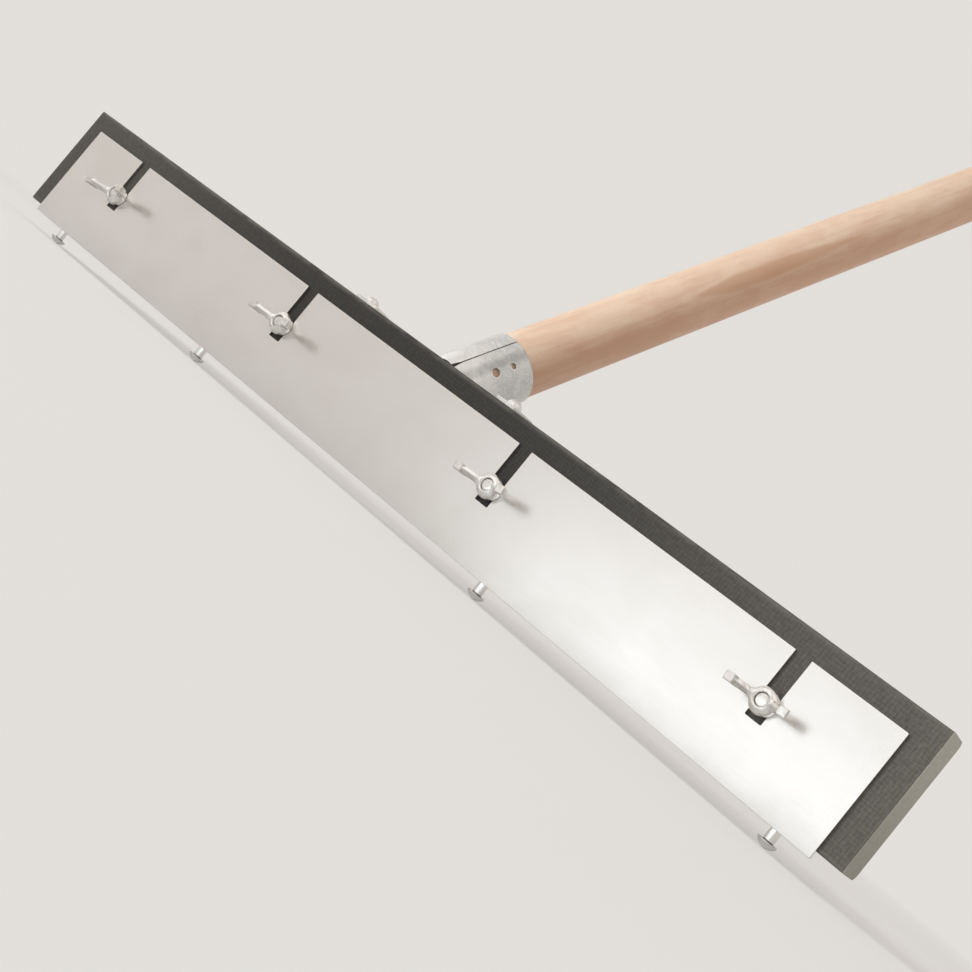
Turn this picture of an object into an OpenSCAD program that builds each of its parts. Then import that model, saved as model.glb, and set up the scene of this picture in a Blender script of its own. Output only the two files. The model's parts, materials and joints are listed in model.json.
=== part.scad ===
// Self-levelling squeegee: a slotted steel blade clamped to a backing board by four wing nuts,
// four spacer pins under the board that set the layer thickness, and a handle held at a slant.
// Millimetres. +X runs along the blade, +Y back towards the handle, +Z up.
// The origin is the middle of the blade's lower edge.

/* [Blade] */
// Length of the blade along the floor
blade_w = 576; // [520:1:590]
// Height of the blade
blade_h = 58; // [50:0.5:62]
// Thickness of the blade sheet
blade_t = 1.5; // [1:0.1:2.5]
// Width of the four slots
slot_w = 8; // [7:0.1:9]
// Height of a slot's closed end above the lower edge
slot_foot = 26.6; // [22:0.1:29]

/* [Backing board] */
// Length of the board
board_w = 600; // [592:1:700]
// Height of the board
board_h = 65; // [60:0.5:75]
// Thickness of the board
board_t = 18; // [15:0.5:21]
// Rounding of the board's two long edges at the back
board_r = 3; // [1:0.25:4]
// Rounding of the board's two long edges at the front
board_front_r = 1; // [0.5:0.25:3]
// Height of the board's lower edge above the blade's lower edge
board_low = 3.5; // [2:0.1:6]

/* [Bolts] */
// Distance from one bolt to the next
bolt_pitch = 159; // [140:1:165]
// Height of the bolts above the board's lower edge
bolt_up = 31; // [29:0.5:33]
// Diameter of the bolt shank
bolt_d = 6; // [5:0.1:6.4]
// Length of the bolt under its head
bolt_len = 25; // [24:0.25:25.5]
// Diameter of the domed bolt head
bolt_head_d = 16.5; // [13:0.1:18]
// Height of the domed bolt head
bolt_head_h = 3.6; // [3:0.1:5]
// Side of the square neck under the head
neck_side = 6.4; // [6.4:0.1:8]
// Depth of the square neck
neck_deep = 4; // [3:0.1:6]
// Chamfer on the bolt's free end
bolt_chamfer = 0.5; // [0.2:0.05:0.8]

/* [Wing nuts] */
// Diameter of the nut's base
nut_base_d = 12; // [11.5:0.1:14]
// Diameter of the hub at its top
nut_top_d = 9.4; // [8.6:0.1:11]
// Height of the hub
nut_h = 6; // [5.8:0.1:8]
// Height of the straight rim at the nut's base
nut_rim = 1.4; // [0.8:0.1:2]
// Distance from wing tip to wing tip
wing_span = 29; // [26:0.5:34]
// Height of the wings above the nut's base
wing_rise = 14.5; // [13:0.25:17]
// Length of the blunt wing tip along the bolt
wing_tip = 6.6; // [5:0.1:8]
// Width of the wing's upper edge, from the tip inwards
wing_land = 4; // [3:0.1:5]
// Thickness of the wing's web
wing_t = 3; // [2:0.1:3]
// Thickness of the bead round the wing's tip
wing_bead_t = 3.8; // [3:0.1:4]
// Turn of the first wing nut, counter-clockwise as seen from the front
nut_turn_1 = 14; // [-180:1:180]
// Turn of the second wing nut
nut_turn_2 = 5; // [-180:1:180]
// Turn of the third wing nut
nut_turn_3 = 7; // [-180:1:180]
// Turn of the fourth wing nut
nut_turn_4 = 4; // [-180:1:180]

/* [Spacer pins] */
// Diameter of the pin shank
pin_d = 4.9; // [4:0.1:6]
// Diameter of the flat-round pin head
pin_head_d = 8.8; // [7:0.1:10]
// Height of the pin head
pin_head_h = 3; // [2:0.1:4]
// Height of the straight rim of the pin head
pin_rim = 0.6; // [0.3:0.1:1]
// Distance from the blade's lower edge down to the top of the pin head
pin_drop = 5.3; // [3:0.1:9]
// Length of the pin inside the board
pin_grip = 22; // [15:0.5:24]
// Distance of the two outer pins from the middle
pin_outer = 269; // [255:1:285]
// Distance of the left inner pin from the middle
pin_inner_left = 123; // [95:1:140]
// Distance of the right inner pin from the middle
pin_inner_right = 101; // [95:1:140]

/* [Handle] */
// Diameter of the wooden handle
handle_d = 34; // [28:0.5:36]
// Length of the handle
handle_len = 1300; // [900:10:1600]
// Slope of the handle above the floor, in degrees
handle_tilt = 48; // [40:0.5:55]
// Height above the blade's edge at which the handle's centre line meets the board's back
handle_cross = 43.4; // [41:0.1:46]
// Gap between the handle's lower end and the board's back
handle_gap = 2; // [1:0.5:8]
// Rounding of the handle's top end
handle_round = 12; // [6:0.5:13]
// Chamfer on the handle's lower end
handle_chamfer = 1; // [0.5:0.1:2]
// Depth to which the handle's foot is turned down to fit the socket
foot_step = 0.2; // [0.1:0.05:1]
// Length of the turned-down foot that shows above the socket's mouth
foot_bare = 0.5; // [0.2:0.1:3]

/* [Socket] */
// Wall of the rolled socket tube
tube_wall = 1.5; // [1:0.1:2.5]
// Distance along the centre line from the board's back to the socket's mouth
tube_reach = 62.5; // [58:0.5:90]
// Width of the seam along the socket
seam_w = 0.6; // [0.4:0.1:1.6]
// Turn of the seam from the socket's front line, in degrees
seam_turn = 11; // [0:1:20]
// Width of the notch at the seam's lower end
notch_w = 2.5; // [2:0.5:7]
// Length of the notch at the seam's lower end
notch_len = 6; // [4:0.5:12]
// Diameter of the larger nail hole
hole_big_d = 4.5; // [3:0.1:5]
// Distance from the mouth down to the larger nail hole
hole_big_down = 22; // [18:0.5:28]
// Diameter of the smaller nail hole
hole_small_d = 3; // [2:0.1:3.5]
// Distance from the mouth down to the smaller nail hole
hole_small_down = 10.5; // [7:0.5:13]
// Turn of the nail holes from the socket's front line, in degrees
hole_turn = 47; // [35:1:70]
// Leg of the weld round the socket's foot
weld_leg = 3; // [2:0.25:4]

/* [Bracket plate] */
// Thickness of the bracket sheet
sheet_t = 2; // [1.5:0.1:3]
// Width of the bracket plate along the board
plate_w = 124; // [110:1:150]
// Height of the plate's lower edge above the board's lower edge
plate_up = 4; // [3:0.5:8]
// Rounding of the plate's lower corners
plate_corner = 6; // [3:0.5:9]
// Distance from the board's top down to the plate's top edge between the ears
plate_dip = 7; // [6:0.5:12]
// Width of the two ears that fold over the board's top
ear_w = 17.5; // [14:0.5:24]
// Reach of the ears forward from the board's back
ear_reach = 13.6; // [13.2:0.1:14.6]
// Width taken off the outer side of the left ear at its front edge
ear_taper_left = 1.5; // [1:0.5:5.5]
// Width taken off the outer side of the right ear at its front edge
ear_taper_right = 5; // [1:0.5:5.5]
// Length over which the outer side of each ear slants
ear_taper_len = 10.5; // [8:0.5:10.5]

/* [Bracket screws] */
// Diameter of the screw shank
screw_d = 4.2; // [3.5:0.1:4.6]
// Length of the screw under its head
screw_len = 16; // [13:0.5:17]
// Length of the screw's point
screw_point = 4; // [2:0.5:5]
// Diameter of the round screw head
screw_head_d = 8.4; // [7.5:0.1:9.5]
// Height of the round screw head
screw_head_h = 3.4; // [2:0.1:3.5]
// Width of the cross recess in the screw head
recess_w = 1.1; // [0.8:0.1:1.4]
// Length of the cross recess in the screw head
recess_len = 4.6; // [3:0.1:5]
// Depth of the cross recess in the screw head
recess_deep = 1.3; // [0.8:0.1:1.6]
// Height of the two back screws above the plate's lower edge
back_screw_up = 10; // [8:0.5:14]
// Distance of the two back screws from the middle
back_screw_out = 46; // [38:0.5:50]

/* [Hidden] */
// Radial clearance of a wing nut on its bolt
nut_clear = 0.05;
// Gap between a wing nut and the blade it clamps
nut_gap = 0.05;
// Radial clearance of what is driven or pushed into place
seat_clear = 0.05;
// Clearance of the plate's round holes over the screws
plate_clear = 0.3;
// Overshoot that keeps cuts clear of the faces they open
cut = 1;
// Smoothness of round shapes
$fn = 64;

blade_front = -blade_t / 2;
board_front = blade_t / 2;
board_back = board_front + board_t;
board_mid = board_front + board_t / 2;
board_top = board_low + board_h;
plate_back = board_back + sheet_t;
plate_low = board_low + plate_up;
plate_top = board_top - plate_dip;
bolt_z = board_low + bolt_up;
bolt_x = [for (i = [-1.5, -0.5, 0.5, 1.5]) i * bolt_pitch];
nut_turns = [nut_turn_1, nut_turn_2, nut_turn_3, nut_turn_4];
nut_seat = blade_front - nut_gap;
pin_x = [-pin_outer, -pin_inner_left, pin_inner_right, pin_outer];
handle_r = handle_d / 2;
foot_r = handle_r - foot_step;
handle_start = foot_r * tan(handle_tilt) + handle_gap;
tube_in = foot_r + seat_clear;
tube_out = tube_in + tube_wall;
socket_end = board_back + tube_out + tube_reach;
ear_x = (plate_w - ear_w) / 2;
ear_front = board_back - ear_reach;
screw_r = screw_d / 2;
back_screw_z = plate_low + back_screw_up;

// Places its children on a bolt's axis, with their +Z pointing out of the front
module facing_front(x, y, z) {
    translate([x, y, z])
        rotate([90, 0, 0])
            children();
}

// Places its children on the handle's centre line, with +Z up the handle and -Y on its front
module along_handle() {
    translate([0, board_back, handle_cross])
        rotate([handle_tilt - 90, 0, 0])
            children();
}

// Low dome on the plane z = 0, of base diameter d and height h
module dome(d, h) {
    ball_r = (d * d / 4 + h * h) / (2 * h);
    intersection() {
        translate([0, 0, h - ball_r])
            sphere(r = ball_r);
        cylinder(d = 2 * d, h = h + cut);
    }
}

// Section of the board from its front lower corner, with its four long edges rounded
module board_outline() {
    translate([board_front_r, 0])
        square([board_t - board_front_r - board_r, board_h]);
    translate([0, board_front_r])
        square([board_t / 2, board_h - 2 * board_front_r]);
    translate([board_t / 2, board_r])
        square([board_t / 2, board_h - 2 * board_r]);
    for (z = [board_front_r, board_h - board_front_r])
        translate([board_front_r, z])
            circle(r = board_front_r);
    for (z = [board_r, board_h - board_r])
        translate([board_t - board_r, z])
            circle(r = board_r);
}

// Extrudes a profile drawn in Y and Z along X, centred on x
module along_x(x, w) {
    translate([x - w / 2, 0, 0])
        rotate([90, 0, 90])
            linear_extrude(w)
                children();
}

module blade_plate() {
    color("gainsboro")
        difference() {
            translate([-blade_w / 2, blade_front, 0])
                cube([blade_w, blade_t, blade_h]);
            for (x = bolt_x)
                translate([x - slot_w / 2, blade_front - cut, slot_foot])
                    cube([slot_w, blade_t + 2 * cut, blade_h - slot_foot + cut]);
        }
}

module bolt_seat(x) {
    facing_front(x, board_back + cut, bolt_z)
        cylinder(r = bolt_d / 2 + seat_clear, h = board_t + 2 * cut);
    neck = neck_side + 2 * seat_clear;
    translate([x - neck / 2, board_back - neck_deep - seat_clear, bolt_z - neck / 2])
        cube([neck, neck_deep + seat_clear + cut, neck]);
}

module backing_board() {
    color("dimgray")
        difference() {
            along_x(0, board_w)
                translate([board_front, board_low])
                    board_outline();
            for (x = bolt_x)
                bolt_seat(x);
            for (x = pin_x)
                translate([x, board_mid, board_low - cut])
                    cylinder(r = pin_d / 2 + seat_clear, h = pin_grip + cut + seat_clear);
            for (side = [-1, 1])
                ear_screw_place(side)
                    screw_hole();
            for (side = [-1, 1])
                back_screw_place(side)
                    screw_hole();
        }
}

module carriage_bolt(i) {
    color("silver")
        facing_front(bolt_x[i], board_back, bolt_z) {
            mirror([0, 0, 1])
                dome(bolt_head_d, bolt_head_h);
            translate([-neck_side / 2, -neck_side / 2, 0])
                cube([neck_side, neck_side, neck_deep]);
            cylinder(d = bolt_d, h = bolt_len - bolt_chamfer);
            translate([0, 0, bolt_len - bolt_chamfer])
                cylinder(d1 = bolt_d, d2 = bolt_d - 2 * bolt_chamfer, h = bolt_chamfer);
        }
}

// Side view of one wing, as distance from the bolt and height above the nut's base
module wing_outline() {
    tip = wing_span / 2;
    root = nut_top_d / 2 - wing_t / 2;
    polygon([
        [0, nut_rim],
        [nut_base_d / 2 - nut_rim / 2, nut_rim],
        [tip - wing_land, wing_rise - wing_tip - nut_rim],
        [tip, wing_rise - wing_tip],
        [tip, wing_rise],
        [tip - wing_land, wing_rise],
        [root, nut_h],
        [0, nut_h]
    ]);
}

// Part of the wing that carries the thicker bead
module wing_bead_outline() {
    intersection() {
        wing_outline();
        translate([wing_span / 2 - wing_land, 0])
            square([wing_land, wing_rise]);
    }
}

// Stands a side view of a wing up on the bolt's axis, t thick
module wing_wall(t) {
    translate([0, t / 2, 0])
        rotate([90, 0, 0])
            linear_extrude(t)
                children();
}

module wing_nut(i) {
    color("lightgray")
        facing_front(bolt_x[i], nut_seat, bolt_z)
            rotate([0, 0, nut_turns[i]])
                difference() {
                    union() {
                        cylinder(d = nut_base_d, h = nut_rim);
                        translate([0, 0, nut_rim])
                            cylinder(d1 = nut_base_d, d2 = nut_top_d, h = nut_h - nut_rim);
                        for (turn = [0, 180])
                            rotate([0, 0, turn]) {
                                wing_wall(wing_t)
                                    wing_outline();
                                wing_wall(wing_bead_t)
                                    wing_bead_outline();
                            }
                    }
                    translate([0, 0, -cut])
                        cylinder(r = bolt_d / 2 + nut_clear, h = wing_rise + 2 * cut);
                }
}

module spacer_pin(i) {
    color("whitesmoke")
        translate([pin_x[i], board_mid, -pin_drop]) {
            cylinder(d = pin_d, h = pin_drop + board_low + pin_grip);
            mirror([0, 0, 1]) {
                cylinder(d = pin_head_d, h = pin_rim);
                translate([0, 0, pin_rim])
                    dome(pin_head_d, pin_head_h - pin_rim);
            }
        }
}

// Side view of an ear: up the board's back, round its edge and forward over its top
module ear_outline() {
    bend_y = board_back - board_r;
    bend_z = board_top - board_r;
    translate([board_back, plate_low + plate_corner])
        square([sheet_t, bend_z - plate_low - plate_corner]);
    translate([ear_front, board_top])
        square([bend_y - ear_front, sheet_t]);
    intersection() {
        translate([bend_y, bend_z])
            difference() {
                circle(r = board_r + sheet_t);
                circle(r = board_r);
            }
        translate([bend_y, bend_z])
            square(board_r + sheet_t + cut);
    }
}

// Cuts the slanted outer side of an ear, from its front edge back
module ear_slant(side) {
    outer = plate_w / 2;
    taper = side < 0 ? ear_taper_left : ear_taper_right;
    translate([0, 0, board_top - cut])
        mirror([side < 0 ? 1 : 0, 0, 0])
            linear_extrude(sheet_t + 2 * cut)
                polygon([
                    [outer - taper, ear_front - cut],
                    [outer + cut, ear_front - cut],
                    [outer + cut, ear_front + ear_taper_len],
                    [outer, ear_front + ear_taper_len],
                    [outer - taper, ear_front]
                ]);
}

// Front view of the plate below its ears, with two round lower corners
module plate_outline() {
    translate([-plate_w / 2, plate_low]) {
        translate([plate_corner, 0])
            square([plate_w - 2 * plate_corner, plate_corner]);
        translate([0, plate_corner])
            square([plate_w, plate_top - plate_low - plate_corner]);
        for (x = [plate_corner, plate_w - plate_corner])
            translate([x, plate_corner])
                circle(r = plate_corner);
    }
}

module bracket_plate() {
    color("silver")
        difference() {
            union() {
                translate([0, plate_back, 0])
                    rotate([90, 0, 0])
                        linear_extrude(sheet_t)
                            plate_outline();
                for (side = [-1, 1])
                    along_x(side * ear_x, ear_w)
                        ear_outline();
            }
            along_handle()
                cylinder(r = tube_out + seat_clear, h = 2 * socket_end, center = true);
            for (side = [-1, 1])
                ear_slant(side);
            for (side = [-1, 1])
                ear_screw_place(side)
                    cylinder(r = screw_r + plate_clear, h = 2 * (sheet_t + cut), center = true);
            for (side = [-1, 1])
                back_screw_place(side)
                    cylinder(r = screw_r + plate_clear, h = 2 * (sheet_t + cut), center = true);
        }
}

// Everything in front of the plane y, to cut the socket and the weld flush
module space_before(y) {
    translate([-socket_end, y - 2 * socket_end, -socket_end])
        cube([2 * socket_end, 2 * socket_end, 3 * socket_end]);
}

// A nail hole through the socket's wall, down from the mouth
module nail_hole(d, down) {
    rotate([0, 0, hole_turn - 90])
        translate([tube_in - cut, 0, tube_reach - down])
            rotate([0, 90, 0])
                cylinder(d = d, h = tube_wall + 2 * cut);
}

// Seam along the socket, opening into a notch at the foot
module seam() {
    foot = tube_out * cos(seam_turn) * tan(handle_tilt);
    rotate([0, 0, seam_turn - 90]) {
        translate([0, -seam_w / 2, -socket_end])
            cube([tube_out + cut, seam_w, 2 * socket_end]);
        rotate([90, 0, 90])
            linear_extrude(tube_out + cut)
                polygon([
                    [-seam_w / 2, foot + notch_len],
                    [-notch_w / 2, foot],
                    [-notch_w / 2, 0],
                    [notch_w / 2, 0],
                    [notch_w / 2, foot],
                    [seam_w / 2, foot + notch_len]
                ]);
    }
}

module handle_socket() {
    color("silver")
        difference() {
            along_handle()
                difference() {
                    translate([0, 0, -socket_end])
                        cylinder(r = tube_out, h = socket_end + tube_reach);
                    translate([0, 0, -socket_end - cut])
                        cylinder(r = tube_in, h = socket_end + tube_reach + 2 * cut);
                    seam();
                    nail_hole(hole_big_d, hole_big_down);
                    nail_hole(hole_small_d, hole_small_down);
                }
            space_before(board_back);
        }
}

module socket_weld() {
    color("silver")
        difference() {
            intersection() {
                along_handle()
                    cylinder(r = tube_out + weld_leg, h = 2 * socket_end, center = true);
                translate([-socket_end, plate_back, plate_low])
                    cube([2 * socket_end, weld_leg, plate_top - plate_low]);
            }
            along_handle()
                cylinder(r = tube_out, h = 3 * socket_end, center = true);
        }
}

// Places its children under the head of an ear's screw, +Z out of the board
module ear_screw_place(side) {
    translate([side * ear_x, board_mid, board_top + sheet_t])
        children();
}

// Places its children under the head of a back screw, +Z out of the board
module back_screw_place(side) {
    translate([side * back_screw_out, plate_back, back_screw_z])
        rotate([-90, 0, 0])
            children();
}

// Hole that a screw cuts for itself in the board
module screw_hole() {
    translate([0, 0, -screw_len - seat_clear])
        cylinder(r = screw_r + seat_clear, h = screw_len + cut);
}

module round_head_screw() {
    color("gainsboro") {
        difference() {
            dome(screw_head_d, screw_head_h);
            for (turn = [0, 90])
                rotate([0, 0, turn])
                    translate([-recess_len / 2, -recess_w / 2, screw_head_h - recess_deep])
                        cube([recess_len, recess_w, recess_deep + cut]);
        }
        translate([0, 0, screw_point - screw_len])
            cylinder(d = screw_d, h = screw_len - screw_point);
        translate([0, 0, -screw_len])
            cylinder(d1 = screw_d / 4, d2 = screw_d, h = screw_point);
    }
}

module ear_screw(side) {
    ear_screw_place(side)
        round_head_screw();
}

module back_screw(side) {
    back_screw_place(side)
        round_head_screw();
}

module handle() {
    color("burlywood")
        along_handle()
            translate([0, 0, handle_start])
                rotate_extrude()
                    handle_outline();
}

// Half section of the handle: chamfered and turned-down foot, straight shaft and rounded top
module handle_outline() {
    shaft_top = handle_len - handle_round;
    shoulder = tube_reach + foot_bare - handle_start;
    polygon([
        [0, 0],
        [foot_r - handle_chamfer, 0],
        [foot_r, handle_chamfer],
        [foot_r, shoulder],
        [handle_r, shoulder],
        [handle_r, shaft_top],
        [0, shaft_top]
    ]);
    square([handle_r - handle_round, handle_len]);
    intersection() {
        translate([handle_r - handle_round, shaft_top])
            circle(r = handle_round);
        translate([0, shaft_top])
            square([handle_r, handle_round]);
    }
}

blade_plate();
backing_board();
carriage_bolt(0);  // carriage_bolt_1
carriage_bolt(1);  // carriage_bolt_2
carriage_bolt(2);  // carriage_bolt_3
carriage_bolt(3);  // carriage_bolt_4
wing_nut(0);  // wing_nut_1
wing_nut(1);  // wing_nut_2
wing_nut(2);  // wing_nut_3
wing_nut(3);  // wing_nut_4
spacer_pin(0);  // spacer_pin_1
spacer_pin(1);  // spacer_pin_2
spacer_pin(2);  // spacer_pin_3
spacer_pin(3);  // spacer_pin_4
bracket_plate();
handle_socket();
socket_weld();
ear_screw(-1);  // ear_screw_left
ear_screw(1);  // ear_screw_right
back_screw(-1);  // back_screw_left
back_screw(1);  // back_screw_right
handle();
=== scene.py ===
"""Self-levelling squeegee: a slotted steel blade clamped to a backing board by wing nuts, on
spacer pins, with a wooden handle in a galvanised socket. Metres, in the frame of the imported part.
"""

import json

import bmesh
import bpy
import numpy as np
from mathutils import Matrix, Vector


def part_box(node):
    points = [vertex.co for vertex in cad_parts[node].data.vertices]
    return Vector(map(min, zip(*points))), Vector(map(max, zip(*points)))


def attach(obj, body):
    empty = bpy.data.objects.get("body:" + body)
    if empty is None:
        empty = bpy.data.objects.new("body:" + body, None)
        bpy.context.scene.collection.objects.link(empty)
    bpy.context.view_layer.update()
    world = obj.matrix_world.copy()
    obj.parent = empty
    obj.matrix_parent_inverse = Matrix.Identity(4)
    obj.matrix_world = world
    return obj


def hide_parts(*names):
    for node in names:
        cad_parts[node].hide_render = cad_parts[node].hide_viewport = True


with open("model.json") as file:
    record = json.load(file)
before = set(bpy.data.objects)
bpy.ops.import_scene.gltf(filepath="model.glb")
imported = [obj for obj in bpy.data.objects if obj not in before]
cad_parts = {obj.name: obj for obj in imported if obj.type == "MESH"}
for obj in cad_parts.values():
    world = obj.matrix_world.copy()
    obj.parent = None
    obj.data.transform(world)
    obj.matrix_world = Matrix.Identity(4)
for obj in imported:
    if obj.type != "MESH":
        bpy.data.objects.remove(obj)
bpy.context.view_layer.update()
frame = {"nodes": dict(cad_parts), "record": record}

bl_info = {
    "name": "Self-levelling squeegee",
    "version": (1, 0, 0),
    "blender": (4, 5, 0),
    "location": "3D View > Sidebar > Squeegee",
    "description": "Builds the blade, board, fastenings, bracket and handle of a floor squeegee",
    "category": "Add Mesh",
}

MM = 0.001


def node_box(node):
    """Lowest and highest corner of a node of the frame, in millimetres."""
    low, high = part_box(node)
    return np.array(low) / MM, np.array(high) / MM


def node_middle(node):
    """Middle of a node's box, in millimetres."""
    low, high = node_box(node)
    return (low + high) / 2


def unit(vectors):
    """Vectors brought to length one."""
    return vectors / np.linalg.norm(vectors, axis=-1, keepdims=True)


BLADE_LOW, BLADE_HIGH = node_box("blade_plate")
BOARD_LOW, BOARD_HIGH = node_box("backing_board")
PLATE_LOW, PLATE_HIGH = node_box("bracket_plate")
BOLT_LOW, BOLT_HIGH = node_box("carriage_bolt_1")
NUTS = [f"wing_nut_{n}" for n in range(1, 5)]
BOLTS = [f"carriage_bolt_{n}" for n in range(1, 5)]
PINS = [f"spacer_pin_{n}" for n in range(1, 5)]
# Turn of each screw's cross recess, in degrees
SCREWS = {"ear_screw_left": 20, "ear_screw_right": 50, "back_screw_left": 35, "back_screw_right": 5}
BOARD_BACK = BOARD_HIGH[1]
BOARD_TOP = BOARD_HIGH[2]
FLOOR = node_box(PINS[0])[0][2]

# The handle's mount gives the direction, the radius and the middle of the pole
GRIP = frame["record"]["mounts"][0]
POLE = unit(np.array(GRIP["axis"]))
POLE_TILT = np.degrees(np.arctan2(POLE[2], POLE[1]))
POLE_R = GRIP["dims"]["r_mm"]
GRIP_MIDDLE = np.array(GRIP["pos_m"]) / MM
# Square to X and to the pole, down and back
POLE_SIDE = np.array([0.0, POLE[2], -POLE[1]])
# The pole's centre line meets the board's back here
POLE_FOOT = GRIP_MIDDLE - POLE * (GRIP_MIDDLE[1] - BOARD_BACK) / POLE[1]

# The camera fitted to the photo: metres, and the focal length and width in the photo's pixels
CAMERA_PLACE = (0.4464, -0.54895, 0.0136)
CAMERA_RIGHT = np.array([0.6522, 0.4172, 0.6329])
CAMERA_BACK = np.array([0.5596, -0.8282, -0.0307])
FOCAL_PIXELS = 1500.5
PHOTO_PIXELS = 972.0

# Place and size of each lamp in metres, and whether metal reflects it; all face one place
LAMPS = {
    "key": ((-1.35, -2.35, 0.95), (1.5, 1.5), False),
    "sheen": ((-0.27, -2.85, 0.25), (2.35, 0.5), True),
    "rim": ((-2.25, 0.35, 1.3), (1.3, 1.3), True),
}
LIT_PLACE = (0.0, 0.0, 0.03)
PLAIN_LIGHT = (1.0, 1.0, 1.0)
COOL_LIGHT = (0.92, 1.0, 1.07)
POOL_LIGHT = (1.18, 1.29, 1.36)


# Arithmetic of shapes


def rounded_loop(corners, radii, steps=6):
    """Closed outline with round corners: each corner is the arc that touches both its sides."""
    corners = np.asarray(corners, float)
    radii = np.broadcast_to(np.asarray(radii, float), len(corners))
    before = unit(corners - np.roll(corners, 1, 0))
    after = np.roll(before, -1, 0)
    cross = before[:, 0] * after[:, 1] - before[:, 1] * after[:, 0]
    turn = np.arctan2(cross, (before * after).sum(1))
    left = np.stack([-before[:, 1], before[:, 0]], 1)
    start = corners - before * (radii * np.tan(np.abs(turn) / 2))[:, None]
    arm = -left * (np.sign(turn) * radii)[:, None]
    centre = start - arm
    angle = turn[:, None] * np.linspace(0, 1, steps + 1)
    cos, sin = np.cos(angle), np.sin(angle)
    x = centre[:, 0, None] + arm[:, 0, None] * cos - arm[:, 1, None] * sin
    y = centre[:, 1, None] + arm[:, 0, None] * sin + arm[:, 1, None] * cos
    return np.stack([x, y], -1).reshape(-1, 2)


def outward(line, closed=True):
    """Mitred outward normals of a counter-clockwise line: the sum of the normals of the two sides
    at a point, over one plus their product."""
    sides = unit(np.roll(line, -1, 0) - line if closed else np.diff(line, axis=0))
    normal = np.stack([sides[:, 1], -sides[:, 0]], 1)
    if closed:
        first, second = np.roll(normal, 1, 0), normal
    else:
        first = np.concatenate([normal[:1], normal])
        second = np.concatenate([normal, normal[-1:]])
    return (first + second) / (1 + (first * second).sum(1))[:, None]


def rim_profile(thickness, rounding, steps=4):
    """Edge of a sheet as inset and depth: a quarter circle, a straight side, a quarter circle."""
    turn = np.linspace(0, np.pi / 2, steps + 1)
    inset = rounding * (1 - np.sin(turn))
    depth = rounding * (1 - np.cos(turn))
    return np.concatenate([inset, inset[::-1]]), np.concatenate([depth, thickness - depth[::-1]])


def arc(centre, radius, start, end, steps):
    """Points of a circular arc in a plane, angles in degrees."""
    turn = np.radians(np.linspace(start, end, steps + 1))
    return np.stack([centre[0] + radius * np.cos(turn), centre[1] + radius * np.sin(turn)], 1)


def ease(value, low, high):
    """Smooth step: 0 below low, 1 above high, 3t^2 - 2t^3 between."""
    t = np.clip((value - low) / (high - low), 0, 1)
    return t * t * (3 - 2 * t)


def all_round(columns):
    """Evenly spaced turns of a full circle, in radians."""
    return np.arange(columns) * 2 * np.pi / columns


def ring(radius, turn, height):
    """Points at a radius, a turn about Z and a height."""
    return np.stack([radius * np.cos(turn), radius * np.sin(turn), height + 0 * turn], -1)


def turned(profile, columns):
    """Surface of revolution about Z of a profile of radius and height."""
    return ring(profile[:, :1], all_round(columns), profile[:, 1:])


def dome_profile(radius, height, steps):
    """Part of a ball from its pole to its rim, as radius and distance below the pole."""
    ball = (radius**2 + height**2) / (2 * height)
    swing = np.linspace(0, np.arcsin(radius / ball), steps + 1)
    return np.stack([ball * np.sin(swing), ball - ball * np.cos(swing)], 1)


def spaced(marks, steps):
    """Numbers that run through the marks, with the given number of steps from each to the next."""
    runs = [np.linspace(a, b, n + 1)[:-1] for a, b, n in zip(marks, marks[1:], steps)]
    return np.append(np.concatenate(runs), marks[-1])


def placed(points, origin, right, up, out):
    """Local points carried to the frame: origin plus x, y and z times the three directions."""
    axes = np.array([right, up, out], float)
    return np.asarray(points) @ axes + np.asarray(origin, float)


class Skin:
    """Gathers grids of points and flat caps in millimetres and makes one closed mesh of them."""

    def __init__(self):
        self.points = []
        self.faces = []
        self.flat = []
        self.total = 0

    def add(self, points):
        """Takes in points and gives the number of the first."""
        points = np.asarray(points, float).reshape(-1, 3)
        self.points.append(points)
        self.total += len(points)
        return self.total - len(points)

    def quads(self, quads):
        """Takes in smooth faces, four point numbers each."""
        self.faces.extend(quads.tolist())
        self.flat.extend([False] * len(quads))

    def grid(self, points, around=False, keep=None):
        """Faces between neighbours of a grid of rows and columns, closed around if asked."""
        rows, columns = points.shape[:2]
        index = self.add(points) + np.arange(rows * columns).reshape(rows, columns)
        if around:
            index = np.concatenate([index, index[:, :1]], axis=1)
        corners = [index[:-1, :-1], index[:-1, 1:], index[1:, 1:], index[1:, :-1]]
        quads = np.stack(corners, axis=-1)
        self.quads(quads[keep] if keep is not None else quads.reshape(-1, 4))

    def cap(self, points):
        """One flat face with the points as its rim."""
        first = self.add(points)
        self.faces.append(list(range(first, self.total)))
        self.flat.append(True)

    def build(self, name, sharp=50):
        """Mesh object in metres with its doubles merged, its faces outward and its hard edges kept."""
        mesh = bpy.data.meshes.new(name)
        mesh.from_pydata(np.concatenate(self.points) * MM, [], self.faces)
        mesh.polygons.foreach_set("use_smooth", ~np.array(self.flat))
        work = bmesh.new()
        work.from_mesh(mesh)
        bmesh.ops.remove_doubles(work, verts=work.verts, dist=2e-7)
        bmesh.ops.recalc_face_normals(work, faces=work.faces)
        work.to_mesh(mesh)
        work.free()
        smooth = np.zeros(len(mesh.polygons), bool)
        mesh.polygons.foreach_get("use_smooth", smooth)
        mesh.set_sharp_from_angle(angle=np.radians(sharp))
        mesh.polygons.foreach_set("use_smooth", smooth)
        piece = bpy.data.objects.new(name, mesh)
        bpy.context.scene.collection.objects.link(piece)
        return piece


def shell(name, points, sharp=50):
    """Mesh object of one grid of points that closes around."""
    skin = Skin()
    skin.grid(points, around=True)
    return skin.build(name, sharp)


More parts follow.
